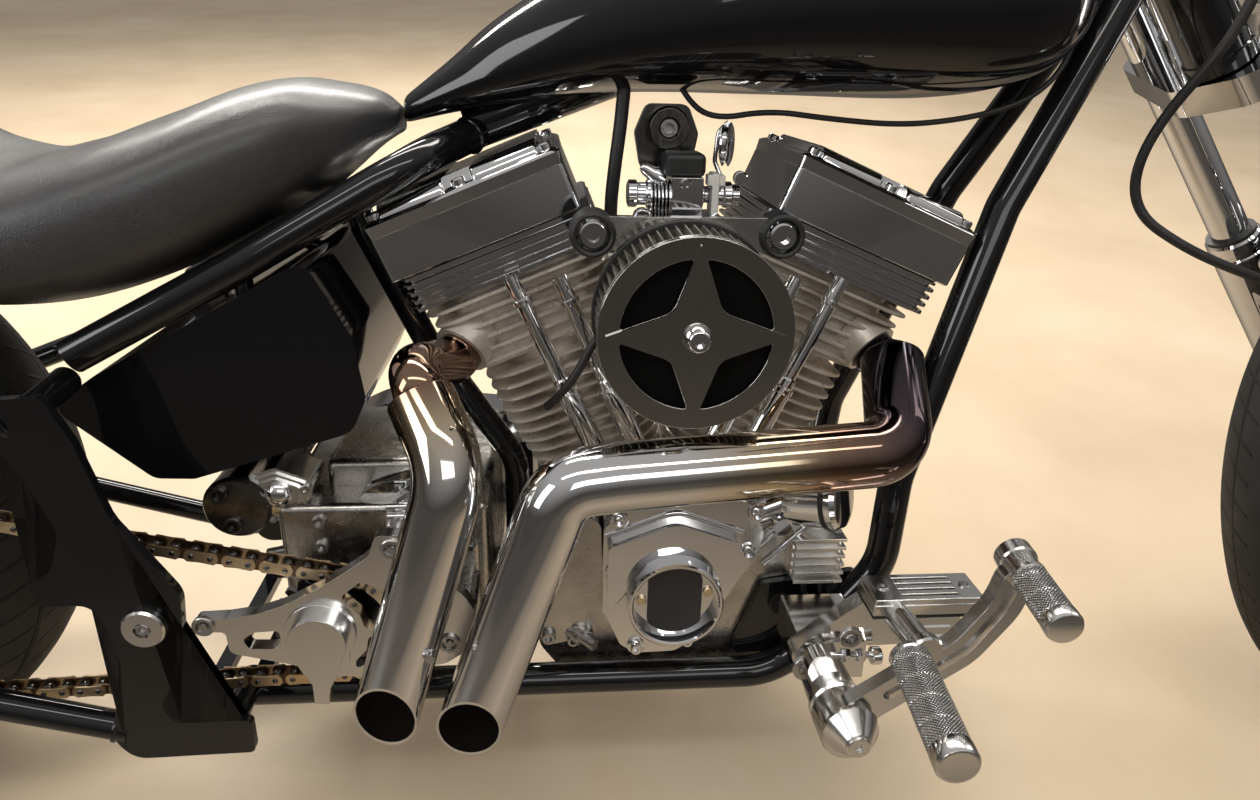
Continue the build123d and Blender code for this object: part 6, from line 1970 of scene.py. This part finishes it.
def cord(name, route, diameter, body, replaces=()):
    """Line through a route's control points, in mm of the bike frame."""
    data = bpy.data.curves.new(name, "CURVE")
    data.dimensions = "3D"
    spline = data.splines.new("NURBS")
    spline.points.add(len(route) - 1)
    for point, at in zip(spline.points, route):
        point.co = (*to_row(at, body), 1.0)
    spline.order_u = 3
    spline.use_endpoint_u = True
    data.resolution_u = 10
    data.bevel_depth = diameter / 2 * MM
    data.bevel_resolution = 5
    data.use_fill_caps = True
    material, slot = SOFT_BLACK
    data.materials.append(material)
    obj = bpy.data.objects.new(name, data)
    bpy.context.scene.collection.objects.link(obj)
    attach(obj, body)
    if replaces:
        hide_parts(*replaces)
    length = bezier_length([Vector(p) for p in route]) * MM
    return obj


HOSE = [(BAR.x - 92, -338, BAR.z + 134), (BAR.x - 30, -306, BAR.z + 76), (BAR.x + 22, -240, BAR.z + 6),
        (BAR.x + 34, -168, BAR.z - 62), along(142, -30, -115), along(74, -86, -98), along(24, -150, -26),
        along(-30, -184, -6), along(-86, -180, -40), along(-146, -150, -70), along(-262, -72, -97),
        along(-420, 30, -97)]
bm = bmesh.new()
foot, before = Vector(HOSE[-1]), Vector(HOSE[-2])
d = (foot - before).normalized()
lathe(bm, foot - d * 12, foot + d * 14,
      [(0, 5), (1, 6.4), (14, 6.4), (15, 5.2), (20, 5.2), (21, 7), (26, 7)], 24)
caliper_in = Vector((FRONT_AXLE.x - 128, -88, FRONT_AXLE.z + 84))
sweep(bm, bent([foot + d * 10, foot + d * 30, caliper_in + Vector((14, -4, 34)), caliper_in], 16, 3.0),
      3.0, 16)
fitting = piece("brake_hose_fitting", bm, STEEL, "fork")
cord("brake_hose_line", HOSE, 9.0, "fork", ("brake_hose",))


# Short lines: each runs from one fitting into another
SHORT_LINES = (
    # name, diameter, points
    ("regulator_lead_front", 6.0, [
        (1088, -104, 285), (1088, -108, 262), (1092, -112, 240), (1098, -110, 214)]),
    ("regulator_lead_rear", 6.0, [
        (1070, -104, 285), (1070, -107, 264), (1078, -112, 242), (1088, -110, 214)]),
    ("tank_cable", 5.0, [
        (922, -52, 752), (934, -58, 728), (958, -66, 712), (1006, -70, 721), (1060, -70, 715),
        (1124, -70, 711), (1178, -70, 717), (1222, -69, 728), (1250, -66, 742), (1272, -58, 764),
        (1286, -42, 792), (1288, -24, 814)]),
    ("vent_hose", 12.0, [
        (882, -52, 752), (879, -58, 713), (873, -61, 668), (870, -56, 628), (876, -38, 594),
        (882, -20, 580)]),
    ("plug_lead_rear", 7.5, [
        (812, -128, 470), (826, -138, 486), (842, -142, 512), (853, -140, 536), (872, -132, 552)]),
)
for name, diameter, points in SHORT_LINES:
    cord(name, points, diameter, "frame")

# Studio: pale floor, soft lamps

FLOOR_TONES = (0.7, 0.55, 0.37), (0.8, 0.64, 0.45), (0.86, 0.73, 0.56)


def stage_floor():
    """Mottled concrete; what shiny pieces mirror of it is darker, a painted reflection."""
    mesh = bpy.data.meshes.new("floor")
    half = 30.0
    mesh.from_pydata([(-half, -half, 0), (half, -half, 0), (half, half, 0), (-half, half, 0)], [],
                     [(0, 1, 2, 3)])
    obj = bpy.data.objects.new("floor", mesh)
    m = Shader("floor_paint", FLOOR_TONES[1], 0.0, 0.5)
    seen = m.ramp(m.noise(1.6, 8.0), [(0.3, FLOOR_TONES[0]), (0.55, FLOOR_TONES[1]), (0.8, FLOOR_TONES[2])])
    # Painted reflection: what shiny pieces mirror of the floor falls off to near black away from the bike,
    # standing for a dim room
    away = m.node("ShaderNodeVectorMath", operation="LENGTH")
    m.link(m.coords, away.inputs[0])
    rays = m.node("ShaderNodeLightPath")
    mirrored = m.node("ShaderNodeMath", operation="MULTIPLY")
    m.link(m.spread(away.outputs["Value"], 0.5, 1.5, 0.42, 0.93), mirrored.inputs[0])
    m.link(rays.outputs["Is Glossy Ray"], mirrored.inputs[1])
    shaded = m.node("ShaderNodeMix", data_type="RGBA")
    m.link(mirrored.outputs[0], shaded.inputs["Factor"])
    near, far, result = shaded.inputs[6], shaded.inputs[7], shaded.outputs[2]
    m.link(seen, near)
    far.default_value = (0.02, 0.018, 0.016, 1.0)
    m.link(result, m.bsdf.inputs["Base Color"])
    m.rough(m.noise(3.0, 4.0), 0.3, 0.7, 0.4, 0.6)
    mesh.materials.append(m.mat)
    bpy.context.scene.collection.objects.link(obj)


def lamp(name, at, target, width, height, watts, colour=(1.0, 1.0, 1.0)):
    """Rectangular lamp aimed at a target."""
    data = bpy.data.lights.new(name, "AREA")
    data.shape = "RECTANGLE"
    data.size, data.size_y = width, height
    data.energy = watts
    data.color = colour
    obj = bpy.data.objects.new(name, data)
    obj.location = at
    obj.rotation_euler = (Vector(target) - Vector(at)).to_track_quat("-Z", "Y").to_euler()
    bpy.context.scene.collection.objects.link(obj)


stage_floor()
WARM = (1.0, 0.95, 0.88)
lamp("ceiling_right", (0.0, -1.3, 3.0), (0.0, -0.6, 0.0), 3.4, 0.3, 17, WARM)
lamp("ceiling_left", (0.2, 0.9, 3.0), (0.1, 0.3, 0.0), 3.4, 0.3, 42, WARM)
lamp("ceiling_far", (-0.9, 2.9, 2.7), (-0.3, 0.7, 0.0), 3.6, 0.5, 128, WARM)
lamp("front", (3.0, 0.6, 2.2), (0.4, 0.0, 0.4), 0.6, 1.8, 8, WARM)
lamp("key", (0.5, -3.0, 2.3), (0.1, 0.0, 0.5), 2.4, 0.9, 13)
lamp("side", (-2.8, -1.6, 1.9), (0.0, 0.0, 0.5), 1.1, 1.8, 27)

world = bpy.data.worlds.new("studio")
bpy.context.scene.world = world
world.use_nodes = True
nodes, links = world.node_tree.nodes, world.node_tree.links
background = nodes["Background"]
sky = nodes.new("ShaderNodeTexCoord")
split = nodes.new("ShaderNodeSeparateXYZ")
links.new(sky.outputs["Generated"], split.inputs["Vector"])
shade = nodes.new("ShaderNodeValToRGB")
LOW_SKY, HIGH_SKY = (0.02, (0.06, 0.055, 0.05, 1.0)), (0.7, (0.42, 0.41, 0.4, 1.0))
for element, (at, tone) in zip(shade.color_ramp.elements, (LOW_SKY, HIGH_SKY)):
    element.position = at
    element.color = tone
links.new(split.outputs["Z"], shade.inputs["Fac"])
links.new(shade.outputs["Color"], background.inputs["Color"])
background.inputs["Strength"].default_value = 1.0
bpy.context.scene.view_settings.view_transform = "Standard"
